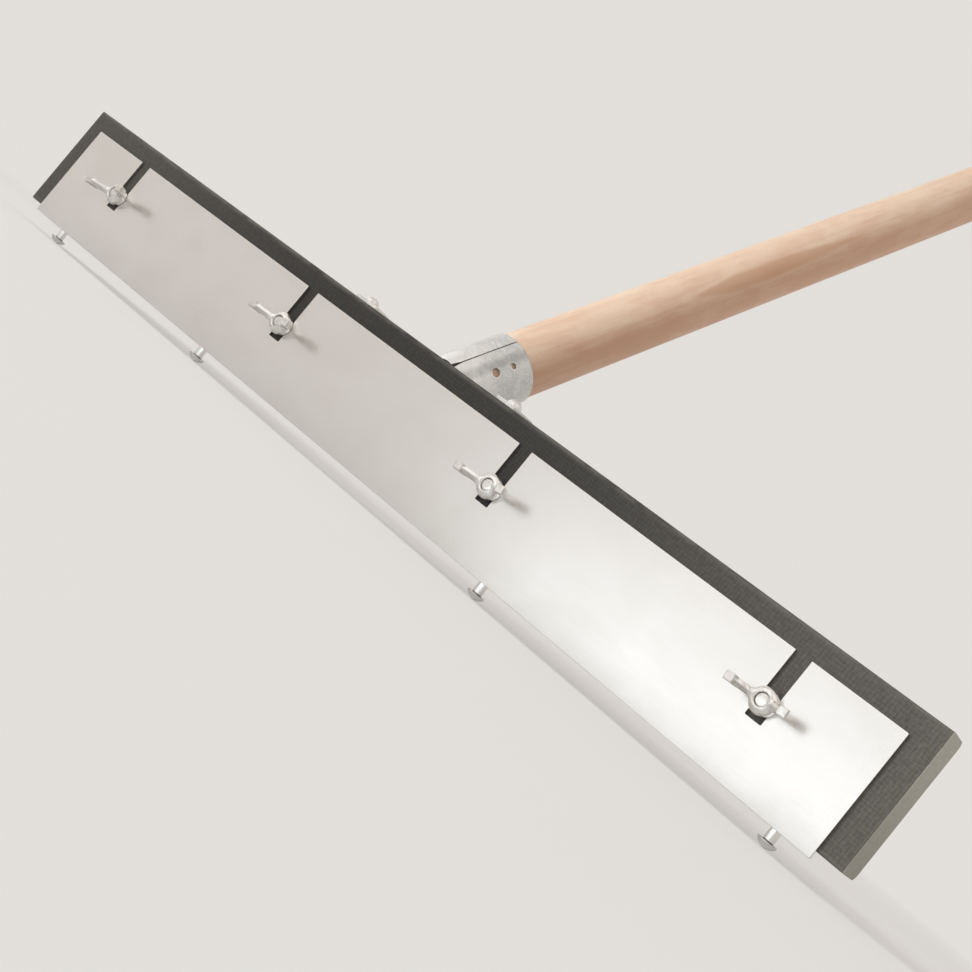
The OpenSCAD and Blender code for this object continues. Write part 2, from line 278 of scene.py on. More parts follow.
def sheet_skin(outline, thickness, rounding, to_space):
    """Flat sheet: its outline carried round the edge profile, between two flat caps. to_space
    takes the outline's points and the depth under the front."""
    skin = Skin()
    normal = outward(outline)
    inset, depth = rim_profile(thickness, rounding)
    rows = outline - normal * inset[:, None, None]
    solid = to_space(rows, np.broadcast_to(depth[:, None], rows.shape[:2]))
    skin.grid(solid, around=True)
    skin.cap(solid[0])
    skin.cap(solid[-1])
    return skin


def polygon_distance(point, corners):
    """Signed distance of points to a polygon, below 0 inside: the nearest side, and the sign
    by counting the sides that a ray crosses."""
    best = np.full(point.shape[:-1], 1e9)
    inside = np.zeros(point.shape[:-1], bool)
    for start, end in zip(corners, np.roll(corners, -1, 0)):
        side = end - start
        arm = point - start
        along = np.clip((arm @ side) / (side @ side), 0, 1)
        best = np.minimum(best, np.linalg.norm(arm - along[..., None] * side, axis=-1))
        span = (start[1] > point[..., 1]) != (end[1] > point[..., 1])
        rise = end[1] - start[1] if abs(end[1] - start[1]) > 1e-9 else 1e-9
        inside ^= span & (arm[..., 0] < side[0] * arm[..., 1] / rise)
    return np.where(inside, -best, best)


def blend_low(first, second, width):
    """Smooth minimum of two distances, which fills their corner with a fillet."""
    share = np.clip(0.5 + 0.5 * (second - first) / width, 0, 1)
    return second * (1 - share) + first * share - width * share * (1 - share)


def blend_high(first, second, width):
    """Smooth maximum of two distances, which rounds the edge of a cut."""
    return -blend_low(-first, -second, width)


def field_skin(field, low, high, step, rounds=6):
    """Surface net of a distance field: one point in each cell that the zero surface crosses, one
    face round each grid edge that it crosses, then the points slide down the field's slope onto
    the surface and are evened out between their neighbours."""
    axes = [np.arange(a, b + step, step) for a, b in zip(low, high)]
    inside = field(np.stack(np.meshgrid(*axes, indexing="ij"), -1)) < 0
    shape = np.array(inside.shape)
    count = np.zeros(shape - 1, int)
    for corner in np.ndindex(2, 2, 2):
        cut = tuple(slice(c, n - 1 + c) for c, n in zip(corner, shape))
        count += inside[cut]
    crossed = (count > 0) & (count < 8)
    index = np.full(crossed.shape, -1)
    index[crossed] = np.arange(crossed.sum())
    points = np.array(low) + (np.argwhere(crossed) + 0.5) * step
    one = np.eye(3, dtype=int)
    quads = []
    for axis in range(3):
        first, second = one[(axis + 1) % 3], one[(axis + 2) % 3]
        steps = np.argwhere(np.diff(inside.astype(np.int8), axis=axis) != 0)
        cells = np.stack([steps - first - second, steps - second, steps, steps - first], 1)
        quads.append(index[cells[..., 0], cells[..., 1], cells[..., 2]])
    quads = np.concatenate(quads)
    ends = np.concatenate([quads[:, [0, 1]], quads[:, [1, 2]], quads[:, [2, 3]], quads[:, [3, 0]]])
    ends = np.concatenate([ends, ends[:, ::-1]])
    degree = np.bincount(ends[:, 0], minlength=len(points))[:, None]
    small = step * 0.05
    for turn in range(rounds):
        if turn < rounds - 2:
            total = np.zeros_like(points)
            np.add.at(total, ends[:, 0], points[ends[:, 1]])
            points = points + 0.5 * (total / degree - points)
        slope = np.stack(
            [field(points + small * axis) - field(points - small * axis) for axis in one], -1
        ) / (2 * small)
        reach = field(points)[:, None] / np.maximum((slope**2).sum(-1, keepdims=True), 0.2)
        points = points - np.clip(reach, -step, step) * slope
    return points, quads


def finished(piece, body, nodes, finish):
    """Hands a piece to the frame: its material, its body and the nodes it stands for."""
    piece.data.materials.clear()
    piece.data.materials.append(finish)
    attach(piece, body)
    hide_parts(*nodes)
    return piece


# Shader maths


def math_node(operation, flipped=False):
    """A method of Wire that adds the Math node of an operation on the wire and another value."""

    def method(self, other=0.0):
        first, second = (other, self) if flipped else (self, other)
        return self.finish.node("Math", {"operation": operation}, {0: first, 1: second, 2: 0.0})

    return method


class Wire:
    """A socket of a shader. Arithmetic on it adds the Math nodes of the expression."""

    def __init__(self, finish, socket):
        self.finish = finish
        self.socket = socket

    __add__ = __radd__ = math_node("ADD")
    __sub__ = math_node("SUBTRACT")
    __rsub__ = math_node("SUBTRACT", flipped=True)
    __mul__ = __rmul__ = math_node("MULTIPLY")
    __truediv__ = math_node("DIVIDE")
    __pow__ = math_node("POWER")
    __abs__ = math_node("ABSOLUTE")
    least = math_node("MINIMUM")
    most = math_node("MAXIMUM")
    wave = math_node("SINE")

    def ease(self, low, high):
        """0 below low and 1 above high, smooth between."""
        inputs = {"Value": self, "From Min": low, "From Max": high, "To Min": 0.0, "To Max": 1.0}
        return self.finish.node("MapRange", {"interpolation_type": "SMOOTHSTEP"}, inputs)


def with_alpha(colour):
    """A colour of three numbers with its alpha, or a wire as it is."""
    return colour if isinstance(colour, Wire) else (*colour, 1.0)


def shade(colour, factor):
    """A colour of three numbers made lighter or darker."""
    return [part * factor for part in colour]


class Finish:
    """The node tree of a material or a world under construction. Every node comes from node()."""

    def __init__(self, owner):
        owner.use_nodes = True
        self.owner = owner
        self.tree = owner.node_tree
        self.tree.nodes.clear()

    def node(self, kind, settings=None, inputs=None, output=0):
        """Adds a node, sets it up, fills its sockets and gives one of its outputs."""
        made = self.tree.nodes.new("ShaderNode" + kind)
        for key, value in (settings or {}).items():
            setattr(made, key, value)
        for key, value in (inputs or {}).items():
            if isinstance(value, Wire):
                self.tree.links.new(value.socket, made.inputs[key])
            else:
                made.inputs[key].default_value = value
        return Wire(self, made.outputs[output]) if made.outputs else None

    def here(self):
        """Object coordinates in millimetres."""
        return self.scaled(self.node("TexCoord", output="Object"), (1 / MM, 1 / MM, 1 / MM))

    def scaled(self, vector, factors):
        """A vector times a factor for each axis."""
        return self.node("VectorMath", {"operation": "MULTIPLY"}, {0: vector, 1: factors})

    def parts(self, vector):
        """The three numbers of a vector."""
        return [self.node("SeparateXYZ", {}, {0: vector}, output=i) for i in range(3)]

    def turned(self, vector, move=(0, 0, 0), turn=(0, 0, 0)):
        """A Mapping node that turns a pattern about the origin and then moves it."""
        inputs = {"Vector": vector, "Location": move, "Rotation": turn}
        return self.node("Mapping", {"vector_type": "POINT"}, inputs)

    def noise(self, vector, scale, detail=3.0, rough=0.5, bend=0.0):
        """Noise of one scale, or of a scale for each axis."""
        if isinstance(scale, tuple):
            vector, scale = self.scaled(vector, scale), 1.0
        inputs = {"Vector": vector, "Scale": scale, "Detail": detail}
        inputs.update({"Roughness": rough, "Distortion": bend})
        return self.node("TexNoise", {"noise_dimensions": "3D"}, inputs)

    def mix(self, share, first, second):
        """Colours mixed by a share from 0 to 1."""
        inputs = {0: share, 6: with_alpha(first), 7: with_alpha(second)}
        return self.node("Mix", {"data_type": "RGBA"}, inputs, output=2)

    def bump(self, height, depth, strength):
        """Relief of the given depth in millimetres, for a height from 0 to 1."""
        return self.node("Bump", {}, {"Height": height, "Distance": depth * MM, "Strength": strength})

    def ray(self, kind):
        """1 for the rays of a kind, 0 for the others."""
        return self.node("LightPath", output=kind)

    def light(self, kind, colour, strength=1.0):
        """An Emission or Background node."""
        return self.node(kind, {}, {"Color": with_alpha(colour), "Strength": strength})

    def output(self, kind, shader):
        """Ends the tree with its output and gives the material or world."""
        self.node("Output" + kind, {}, {"Surface": shader})
        return self.owner

    def surface(self, colour, rough, relief, metallic=0.0):
        """Ends a material with its shader and output."""
        inputs = {"Base Color": colour, "Metallic": metallic, "Roughness": rough, "Normal": relief}
        return self.output("Material", self.node("BsdfPrincipled", {}, inputs))


def new_finish(name):
    """The Finish of a new material."""
    return Finish(bpy.data.materials.new(name))


# Sizes and colours that a user would change


def colour_prop(name, text, default):
    """A linear colour."""
    return bpy.props.FloatVectorProperty(
        name=name, description=text, default=default, subtype="COLOR", size=3, min=0, max=1
    )


def number_prop(name, text, default, low=0.0, high=100.0, unit=", mm"):
    """A length, or what its unit says."""
    text += unit
    return bpy.props.FloatProperty(name=name, description=text, default=default, min=low, max=high)


def part_prop(name, text, default):
    """A number from 0 to 1."""
    return number_prop(name, text, default, high=1.0, unit="")


class SQG_BladeSettings(bpy.types.PropertyGroup):
    slot_w: number_prop("Slot width", "Width of the four slots", 8.0)
    slot_foot: number_prop("Slot foot", "Height of the slots' closed end", 26.6)
    corner: number_prop("Corner", "Rounding of the blade's corners", 0.6)
    edge: number_prop("Edge", "Rounding of the sheet's edge", 0.15)
    light: colour_prop("Light steel", "Colour of the steel", (0.782, 0.762, 0.744))
    dull: colour_prop("Dull steel", "Colour of the rubbed patches", (0.72, 0.70, 0.672))
    rough: part_prop("Roughness", "Roughness of the rolled sheet", 0.25)


class SQG_BoardSettings(bpy.types.PropertyGroup):
    face: colour_prop("Face", "Colour of the dark film", (0.0105, 0.0092, 0.008))
    thread: colour_prop("Thread", "Colour of the film's raised threads", (0.034, 0.0305, 0.0265))
    # Painted sheen on the film towards the ends
    sheen_tint: colour_prop("Dusty face", "Colour of the film towards the ends", (0.125, 0.119, 0.104))
    worn: colour_prop("Worn edge", "Colour where the film is rubbed", (0.17, 0.165, 0.145))
    end: colour_prop("Cut end", "Colour of the sawn ends", (0.49, 0.485, 0.43))
    rough: part_prop("Roughness", "Roughness of the film", 0.52)


class SQG_NutSettings(bpy.types.PropertyGroup):
    hub_d: number_prop("Hub base", "Diameter of the hub's base", 12.0)
    top_d: number_prop("Hub top", "Diameter of the hub's top", 9.4)
    hub_h: number_prop("Hub height", "Height of the hub", 6.0)
    span: number_prop("Span", "Distance from wing tip to wing tip", 29.0)
    rise: number_prop("Rise", "Height of the wings", 14.5)
    web: number_prop("Web", "Thickness of the wing's web", 3.6)
    pad: number_prop("Pad", "Thickness of the wing's tip", 3.75)
    dish: number_prop("Dish", "Depth of the hollow in the wing's side", 0.5)
    bore_r: number_prop("Bore", "Radius of the bore", 3.05)
    turns: bpy.props.FloatVectorProperty(
        name="Turns",
        description="Turn of each nut, counter-clockwise from the front, in degrees",
        default=(14.0, 5.0, 7.0, 4.0),
        size=4,
    )
    zinc: colour_prop("Zinc", "Colour of the cast zinc", (0.93, 0.92, 0.895))
    dull: colour_prop("Dull zinc", "Colour of its dull patches", (0.66, 0.64, 0.61))
    # Painted shade on the left wings' tips
    left_tip_shade: colour_prop("Warm zinc", "Colour of the left wings' tips", (0.66, 0.615, 0.6))


class SQG_BoltSettings(bpy.types.PropertyGroup):
    shank_d: number_prop("Shank", "Diameter of the bolt", 6.0)
    head_d: number_prop("Head", "Diameter of the domed head", 16.5)
    neck: number_prop("Neck", "Side of the square neck", 6.4)
    neck_deep: number_prop("Neck depth", "Depth of the square neck", 4.0)
    pitch: number_prop("Pitch", "Pitch of the thread", 1.0, 0.5)
    steel: colour_prop("Steel", "Colour of the plated steel", (0.78, 0.765, 0.74))
    dull: colour_prop("Dull steel", "Colour of its dull patches", (0.62, 0.6, 0.56))


class SQG_PinSettings(bpy.types.PropertyGroup):
    shank_d: number_prop("Shank", "Diameter of the pin", 4.9)
    head_d: number_prop("Head", "Diameter of the button head", 8.8)
    head_h: number_prop("Head height", "Height of the button head", 3.0)
    polish: colour_prop("Polish", "Colour of the polished shank", (0.86, 0.85, 0.83))
    satin: colour_prop("Satin", "Colour of the satin head", (0.88, 0.86, 0.83))
    # Painted shade in the pin's neck
    crevice_shade: colour_prop("Dirt", "Colour of the dirt in the neck", (0.12, 0.1, 0.085))


class SQG_BracketSettings(bpy.types.PropertyGroup):
    sheet: number_prop("Sheet", "Thickness of the bracket sheet", 2.0)
    bend: number_prop("Bend", "Inner radius of the ears' bend", 3.0)
    corner: number_prop("Corner", "Rounding of the plate's lower corners", 6.0)
    dip: number_prop("Dip", "Distance from the board's top to the plate's top", 7.0)
    ear_w: number_prop("Ear", "Width of the ears", 17.5)
    taper_left: number_prop("Left taper", "Width taken off the left ear at its front", 1.5)
    taper_right: number_prop("Right taper", "Width taken off the right ear at its front", 5.0)
    taper_len: number_prop("Taper length", "Length of the ear's slanted side", 10.5)
    bead: number_prop("Weld", "Leg of the weld round the socket's foot", 3.0)


class SQG_SocketSettings(bpy.types.PropertyGroup):
    out_r: number_prop("Radius", "Outer radius of the socket", 18.35)
    wall: number_prop("Wall", "Wall of the socket", 1.5)
    reach: number_prop("Reach", "Distance from the board's back to the mouth", 62.5)
    seam_w: number_prop("Seam", "Width of the seam", 0.6)
    seam_turn: number_prop("Seam turn", "Turn of the seam from the front", 11.0, unit=", degrees")
    notch_w: number_prop("Notch", "Width of the notch at the seam's foot", 2.5)
    notch_len: number_prop("Notch length", "Length of the notch", 6.0)
    hole_turn: number_prop("Hole turn", "Turn of the nail holes from the front", 47.0, unit=", degrees")
    zinc: colour_prop("Zinc", "Colour of the zinc coat", (0.9, 0.885, 0.855))
    dull: colour_prop("Dull zinc", "Colour of its dull patches", (0.68, 0.685, 0.67))


class SQG_ScrewSettings(bpy.types.PropertyGroup):
    head_d: number_prop("Head", "Diameter of the round head", 8.4)
    head_h: number_prop("Head height", "Height of the round head", 3.4)
    shank_d: number_prop("Shank", "Diameter of the screw", 4.2)
    length: number_prop("Length", "Length under the head", 16.0)
    pitch: number_prop("Pitch", "Pitch of the thread", 1.8, 0.5)
    recess_w: number_prop("Recess", "Width of the cross recess", 1.1)
    recess_len: number_prop("Recess length", "Length of the cross recess", 4.6)
    recess_deep: number_prop("Recess depth", "Depth of the cross recess", 1.3)


class SQG_HandleSettings(bpy.types.PropertyGroup):
    foot_r: number_prop("Foot", "Radius of the turned-down foot", 16.8)
    length: number_prop("Length", "Length of the whole handle", 1300.0, high=2000.0)
    start: number_prop("Start", "Distance from the board's back to the foot's end", 20.658)
    shoulder: number_prop("Shoulder", "Distance from the board's back to the shoulder", 63.0)
    rounding: number_prop("Rounding", "Rounding of the handle's top end", 12.0)
    pale: colour_prop("Pale wood", "Colour of the early wood", (0.835, 0.68, 0.528))
    dark: colour_prop("Dark wood", "Colour of the late wood", (0.65, 0.39, 0.26))
    heart: colour_prop("Heartwood", "Colour of the long brown streak", (0.58, 0.315, 0.185))
    # Painted shade on the wood under the socket's seam
    crevice_shade: colour_prop("Dirt", "Colour of the dirt under the socket's seam", (0.055, 0.052, 0.048))


class SQG_StageSettings(bpy.types.PropertyGroup):
    ground: colour_prop("Ground", "Colour of the floor and the backdrop", (0.765, 0.735, 0.70))
    fill: colour_prop("Fill", "Light from all round", (0.53, 0.485, 0.445))
    key: number_prop("Key", "Power of the lamp that lights what isn't metal", 52.0, unit=", W")
    sheen: number_prop("Sheen", "Power of the low lamp that metal reflects", 0.95, unit=", W")
    rim: number_prop("Rim", "Power of the lamp that lights the upper left rims", 2.0, unit=", W")
    dim: part_prop("Dim", "Light of the darker zones that metal reflects", 0.3)
    paint: colour_prop("Floor", "Paint of the floor", (0.56, 0.578, 0.582))
    lift: part_prop("Lift", "Glow of the floor that makes up for the low lamps", 0.46)


GROUPS = {
    "sqg_blade": SQG_BladeSettings,
    "sqg_board": SQG_BoardSettings,
    "sqg_nuts": SQG_NutSettings,
    "sqg_bolts": SQG_BoltSettings,
    "sqg_pins": SQG_PinSettings,
    "sqg_bracket": SQG_BracketSettings,
    "sqg_socket": SQG_SocketSettings,
    "sqg_screws": SQG_ScrewSettings,
    "sqg_handle": SQG_HandleSettings,
    "sqg_stage": SQG_StageSettings,
}


# Finishes


def before_pole(y, z):
    """Distance of a place before the pole's centre line, square to it and to X."""
    return POLE_FOOT @ POLE_SIDE - y * POLE_SIDE[1] - z * POLE_SIDE[2]


def rolled_steel(s):
    """Satin stainless sheet: fine marks along its length, faint clouds and rubbed patches."""
    f = new_finish("rolled_steel")
    here = f.here()
    marks = f.noise(here, (0.05, 1.0, 7.0), 4.0, 0.6)
    clouds = f.noise(f.scaled(here, (0.6, 1.0, 1.0)), 0.035, 3.0, 0.55, 0.4)
    specks = f.noise(here, 0.9, 2.0, 0.5)
    share = (clouds.ease(0.35, 0.7) * 0.55 + marks.ease(0.3, 0.75) * 0.35).least(1.0)
    colour = f.mix(share, s.light, s.dull)
    rough = s.rough - 0.05 + clouds * 0.06 + marks * 0.04 + specks * 0.01
    relief = f.bump(marks, 0.003, 0.6)
    return f.surface(colour, rough, relief, metallic=1.0)


def dark_film(s):
    """Dark film pressed with a fine weave, with painted sheen towards the ends, rubbed light on the long
    edges; sawn ends lighter.
    """
    f = new_finish("dark_film")
    here = f.here()
    x, y, z = f.parts(here)
    drift = f.noise(here, (0.3, 0.3, 0.3), 2.0) * 5.0
    up = f.noise(here, (1.5, 1.5, 0.36), 4.0, 0.62, 0.6)
    along = f.noise(here, (0.38, 1.5, 1.5), 4.0, 0.62, 0.6)
    thread = ((x * 3.4 + drift).wave() * 0.14 + (z * 3.4 - drift).wave() * 0.1) + 0.5
    weave = (up * 0.55 + along * 0.4 + (thread - 0.5) * 0.25).ease(0.34, 0.68)
    clouds = f.noise(f.scaled(here, (0.5, 1.0, 1.0)), 0.05, 3.0, 0.6)
    film = f.mix(weave * (0.4 + clouds * 0.7), s.face, s.thread)
    # Painted sheen: the film is lighter towards the ends, most towards the right
    painted_sheen = x.ease(60, 300) * 0.85 + x.ease(285, 296) * 0.15
    painted_sheen = painted_sheen.most((0 - x).ease(60, 300) * 0.45) * (0.55 + weave * 0.5)
    film = f.mix(painted_sheen, film, s.sheen_tint)
    middle, half = (BOARD_LOW + BOARD_HIGH) / 2, (BOARD_HIGH - BOARD_LOW) / 2
    edge_y = abs(y - middle[1]) / half[1]
    edge_z = abs(z - middle[2]) / half[2]
    rim = edge_y.ease(0.7, 0.97) * edge_z.ease(0.91, 0.985)
    rub = rim * f.noise(f.scaled(here, (0.15, 1.0, 1.0)), 0.6, 4.0, 0.65).ease(0.3, 0.6) * 0.5
    film = f.mix(rub, film, s.worn)
    grain = f.noise(f.scaled(here, (1.0, 0.35, 0.9)), 0.8, 4.0, 0.6)
    ends = abs(x).ease(BOARD_HIGH[0] - 0.25, BOARD_HIGH[0] - 0.05)
    core = f.mix(grain.ease(0.3, 0.75), shade(s.end, 0.86), s.end)
    core = f.mix((1 - z.ease(0, BOARD_TOP)) * 0.36, core, shade(s.end, 0.3))
    colour = f.mix(ends, film, core)
    rough = s.rough + clouds * 0.1 - weave * 0.06 + ends * 0.2
    relief = f.bump(weave * (1 - ends) + grain * ends * 0.6, 0.05, 0.5)
    return f.surface(colour, rough, relief)


def plated_steel(s):
    """Bright zinc plate on steel: faint clouds, fine grain and small dull spots."""
    f = new_finish("plated_steel")
    here = f.here()
    clouds = f.noise(here, 0.5, 4.0, 0.6, 0.3)
    grain = f.noise(here, 3.2, 3.0, 0.6)
    spots = f.noise(here, 1.3, 2.0).ease(0.6, 0.78)
    share = (clouds.ease(0.35, 0.75) * 0.5 + spots * 0.4).least(1.0)
    colour = f.mix(share, s.steel, s.dull)
    rough = 0.2 + clouds * 0.12 + spots * 0.16
    relief = f.bump(grain + clouds * 0.5, 0.02, 0.5)
    return f.surface(colour, rough, relief, metallic=1.0)


def cast_zinc(s, number):
    """Plated casting: uneven skin with soft dimples and dull patches. The wings' tips are duller;
    the left wing's web has a painted highlight above and painted shade below, and its tip painted shade."""
    f = new_finish(f"cast_zinc_{number}")
    place = f.here()
    x, y, z = f.parts(place)
    bolt = node_middle(BOLTS[number])
    turn = np.radians(s.turns[number])
    reach = (x - bolt[0]) * np.cos(turn) + (z - bolt[2]) * np.sin(turn)
    side = (z - bolt[2]) * np.cos(turn) - (x - bolt[0]) * np.sin(turn)
    tips = abs(reach).ease(s.span / 2 - 4.5, s.span / 2 - 3.7) * (1 - y.ease(-10, -8))
    # The left wing's web, for a painted highlight above and painted shade below
    web = abs(reach).ease(5.2, 6.2) * (1 - tips) * (0 - reach).ease(0, 1)
    # The left wing's tip, for painted shade
    left = tips * (0 - reach).ease(0, 1)
    here = f.turned(place, (37.0 * number, 11.0 * number, 5.0 * number))
    lumps = f.noise(here, 0.42, 2.0, 0.5, 0.3)
    patches = f.noise(here, 0.28, 4.0, 0.62, 0.5)
    grain = f.noise(here, 2.6, 3.0, 0.6)
    share = (patches.ease(0.4, 0.68) * 0.6 + grain.ease(0.5, 0.8) * 0.25 + tips * 0.35).least(1.0)
    # Painted highlight on the upper half of the left web, painted shade on its lower half
    share = share * (1 - web * 0.85) + web * (1 - side.ease(-0.3, 0.2)) * 0.75
    colour = f.mix(share, s.zinc, s.dull)
    # Painted shade on the left wings' tips
    colour = f.mix(left * 0.6, colour, s.left_tip_shade)
    rough = 0.16 + patches * 0.16 + grain * 0.05 + tips * 0.16
    relief = f.bump(lumps + grain * 0.12, 0.22, 0.5)
    return f.surface(colour, rough, relief, metallic=1.0)


def pin_metal(s):
    """Polished shank with faint turning marks, satin head with scuffs under it."""
    f = new_finish("pin_metal")
    here = f.here()
    above = f.parts(here)[2] - FLOOR - s.head_h
    head = 1 - above.ease(-0.25, 0.15)
    turning = f.noise(here, (0.3, 0.3, 5.0), 3.0, 0.6)
    scuffs = f.noise(f.scaled(here, (1.0, 1.0, 0.5)), 1.6, 4.0, 0.65)
    share = (head * 0.7 + scuffs.ease(0.45, 0.75) * 0.3).least(1.0)
    # Painted shade in the neck between head and shank
    joint = 1 - abs(above - 0.1).ease(0.1, 0.4)
    colour = f.mix(share, s.polish, s.satin)
    colour = f.mix(joint * 0.8, colour, s.crevice_shade)
    rough = 0.1 + head * 0.22 + turning * 0.05 + scuffs * head * 0.12
    relief = f.bump(turning * (1 - head) * 0.4 + scuffs * head, 0.02, 0.5)
    return f.surface(colour, rough, relief, metallic=1.0)


def dipped_zinc(s):
    """Hot-dip zinc: flat crystals a few millimetres wide, clouds, shallow wrinkles and deeper
    folds at the socket's lower right."""
    f = new_finish("dipped_zinc")
    here = f.here()
    bent = f.noise(here, 0.12, 2.0)
    cells = {"Vector": here, "Scale": 0.32, "Randomness": 1.0}
    crystals = f.node("TexVoronoi", {"feature": "F1"}, cells, output="Color")
    tone = f.parts(crystals)[0]
    clouds = f.noise(here, 0.09, 4.0, 0.6, 0.6)
    wrinkles = f.noise(f.scaled(here, (1.0, 0.7, 0.7)), 0.45, 3.0, 0.55, 1.2)
    grain = f.noise(here, 2.0, 3.0, 0.6)
    x, y, z = f.parts(here)
    folds = f.noise(f.scaled(here, (0.35, 1.0, 0.8)), 0.8, 3.0, 0.6, 1.6)
    crumpled = (y + z).ease(95, 125) * (x + z).ease(62, 90) * folds.ease(0.3, 0.7)
    # The right side beyond the seam gets painted shade, darkest in a band beside the seam
    front = before_pole(y, z)
    turned_by = np.radians(36)
    beside = x * np.cos(turned_by) - front * np.sin(turned_by)
    band = 1 - abs(beside + bent * 3 - 1.5).ease(0.5, 4.5)
    band = band * front.ease(2, 6) * (y + z).ease(70, 90)
    share = (clouds.ease(0.35, 0.7) * 0.5 + tone * 0.25 + grain * 0.15 + crumpled * 0.5).least(1.0)
    colour = f.mix(share, s.zinc, s.dull)
    seam_slope = 0.194
    # Painted shade on the right side beyond the seam
    rubbed = (x - front * seam_slope).ease(-0.3, 0.3) * (y + z).ease(66, 72)
    colour = f.mix(rubbed * 0.2, colour, shade(s.dull, 0.72))
    # Painted shade, darkest in the band beside the seam
    colour = f.mix(band * (0.25 + clouds * 0.6), colour, shade(s.dull, 0.5))
    rough = 0.24 + tone * 0.06 + clouds * 0.12 + bent * 0.03
    relief = f.bump(wrinkles + grain * 0.1 + crumpled * 1.9, 0.34, 0.55)
    return f.surface(colour, rough, relief, metallic=1.0)


def beech(s):
    """Sanded beech: long grain streaks along the pole, short dark flecks and a soft sheen."""
    f = new_finish("beech")
    turn = (np.radians(90 - POLE_TILT), 0, 0)
    along = f.turned(f.here(), (0, 0, 0), turn)
    streaks = f.noise(along, (0.32, 0.32, 0.008), 5.0, 0.6, 0.35)
    fine = f.noise(along, (2.4, 2.4, 0.04), 3.0, 0.6)
    flecks = f.noise(along, (1.9, 1.9, 0.28), 2.0, 0.5).ease(0.64, 0.74)
    broad = f.noise(along, (0.05, 0.05, 0.006), 2.0, 0.5)
    patches = f.noise(along, (0.09, 0.09, 0.03), 3.0, 0.55, 0.3)
    lines = streaks.ease(0.36, 0.7) * 0.22 + fine.ease(0.4, 0.7) * 0.13
    x, y, z = f.parts(f.here())
    length = y * POLE[1] + z * POLE[2] - POLE_FOOT @ POLE
    front = before_pole(y, z)
    turned_by = np.radians(48)
    across = x * np.cos(turned_by) - front * np.sin(turned_by)
    # Painted shade: the wood is darker and redder round the side of the pole turned from the light
    share = lines + patches.ease(0.35, 0.68) * 0.32 + broad * 0.15
    wood = f.mix((share + across.ease(-7, 9.5) * 0.62).least(1), s.pale, s.dark)
    # One long brown streak, pointed at both ends
    middle = abs(across) + streaks * 5 - 2.5
    faces = (x * np.sin(turned_by) + front * np.cos(turned_by)).ease(6, 10)
    swell = length.ease(176, 225) * (1 - length.ease(250, 360))
    heart = (1 - (middle - swell * 5.0).ease(-2.2, 1.0)) * swell.ease(0.0, 0.25) * faces
    wood = f.mix(heart * 0.62, wood, s.heart)
    # Painted shade on the wood under the socket's seam
    under = (1 - length.ease(61.5, 63)) * (1 - abs(x - 3.0).ease(1.6, 2.8)) * front.ease(0, 4)
    wood = f.mix(under * 0.9, wood, s.crevice_shade)
    colour = f.mix(flecks * 0.2, wood, shade(s.dark, 0.62))
    rough = 0.4 + fine * 0.12 + flecks * 0.1
    relief = f.bump(fine * 0.6 + flecks * -0.5, 0.05, 0.4)
    return f.surface(colour, rough, relief)


# Pieces


def blade_piece(s):
    """Sheet with four slots open at the top: the outline runs round the sheet and down and up
    each slot, and is carried through the thickness."""
    foot, top = BLADE_LOW[2], BLADE_HIGH[2]
    corners = [(BLADE_LOW[0], foot), (BLADE_HIGH[0], foot), (BLADE_HIGH[0], top)]
    radii = [s.corner] * 3
    mouth, closed = 0.3, 0.4
    for bolt in reversed(BOLTS):
        x = node_middle(bolt)[0]
        left, right = x - s.slot_w / 2, x + s.slot_w / 2
        corners += [(right, top), (right, s.slot_foot), (left, s.slot_foot), (left, top)]
        radii += [mouth, closed, closed, mouth]
    corners.append((BLADE_LOW[0], top))
    radii.append(s.corner)
    thickness = BLADE_HIGH[1] - BLADE_LOW[1]

    def to_space(line, depth):
        return np.stack([line[..., 0], BLADE_LOW[1] + depth, line[..., 1]], -1)

    return sheet_skin(rounded_loop(corners, radii), thickness, s.edge, to_space).build("blade")


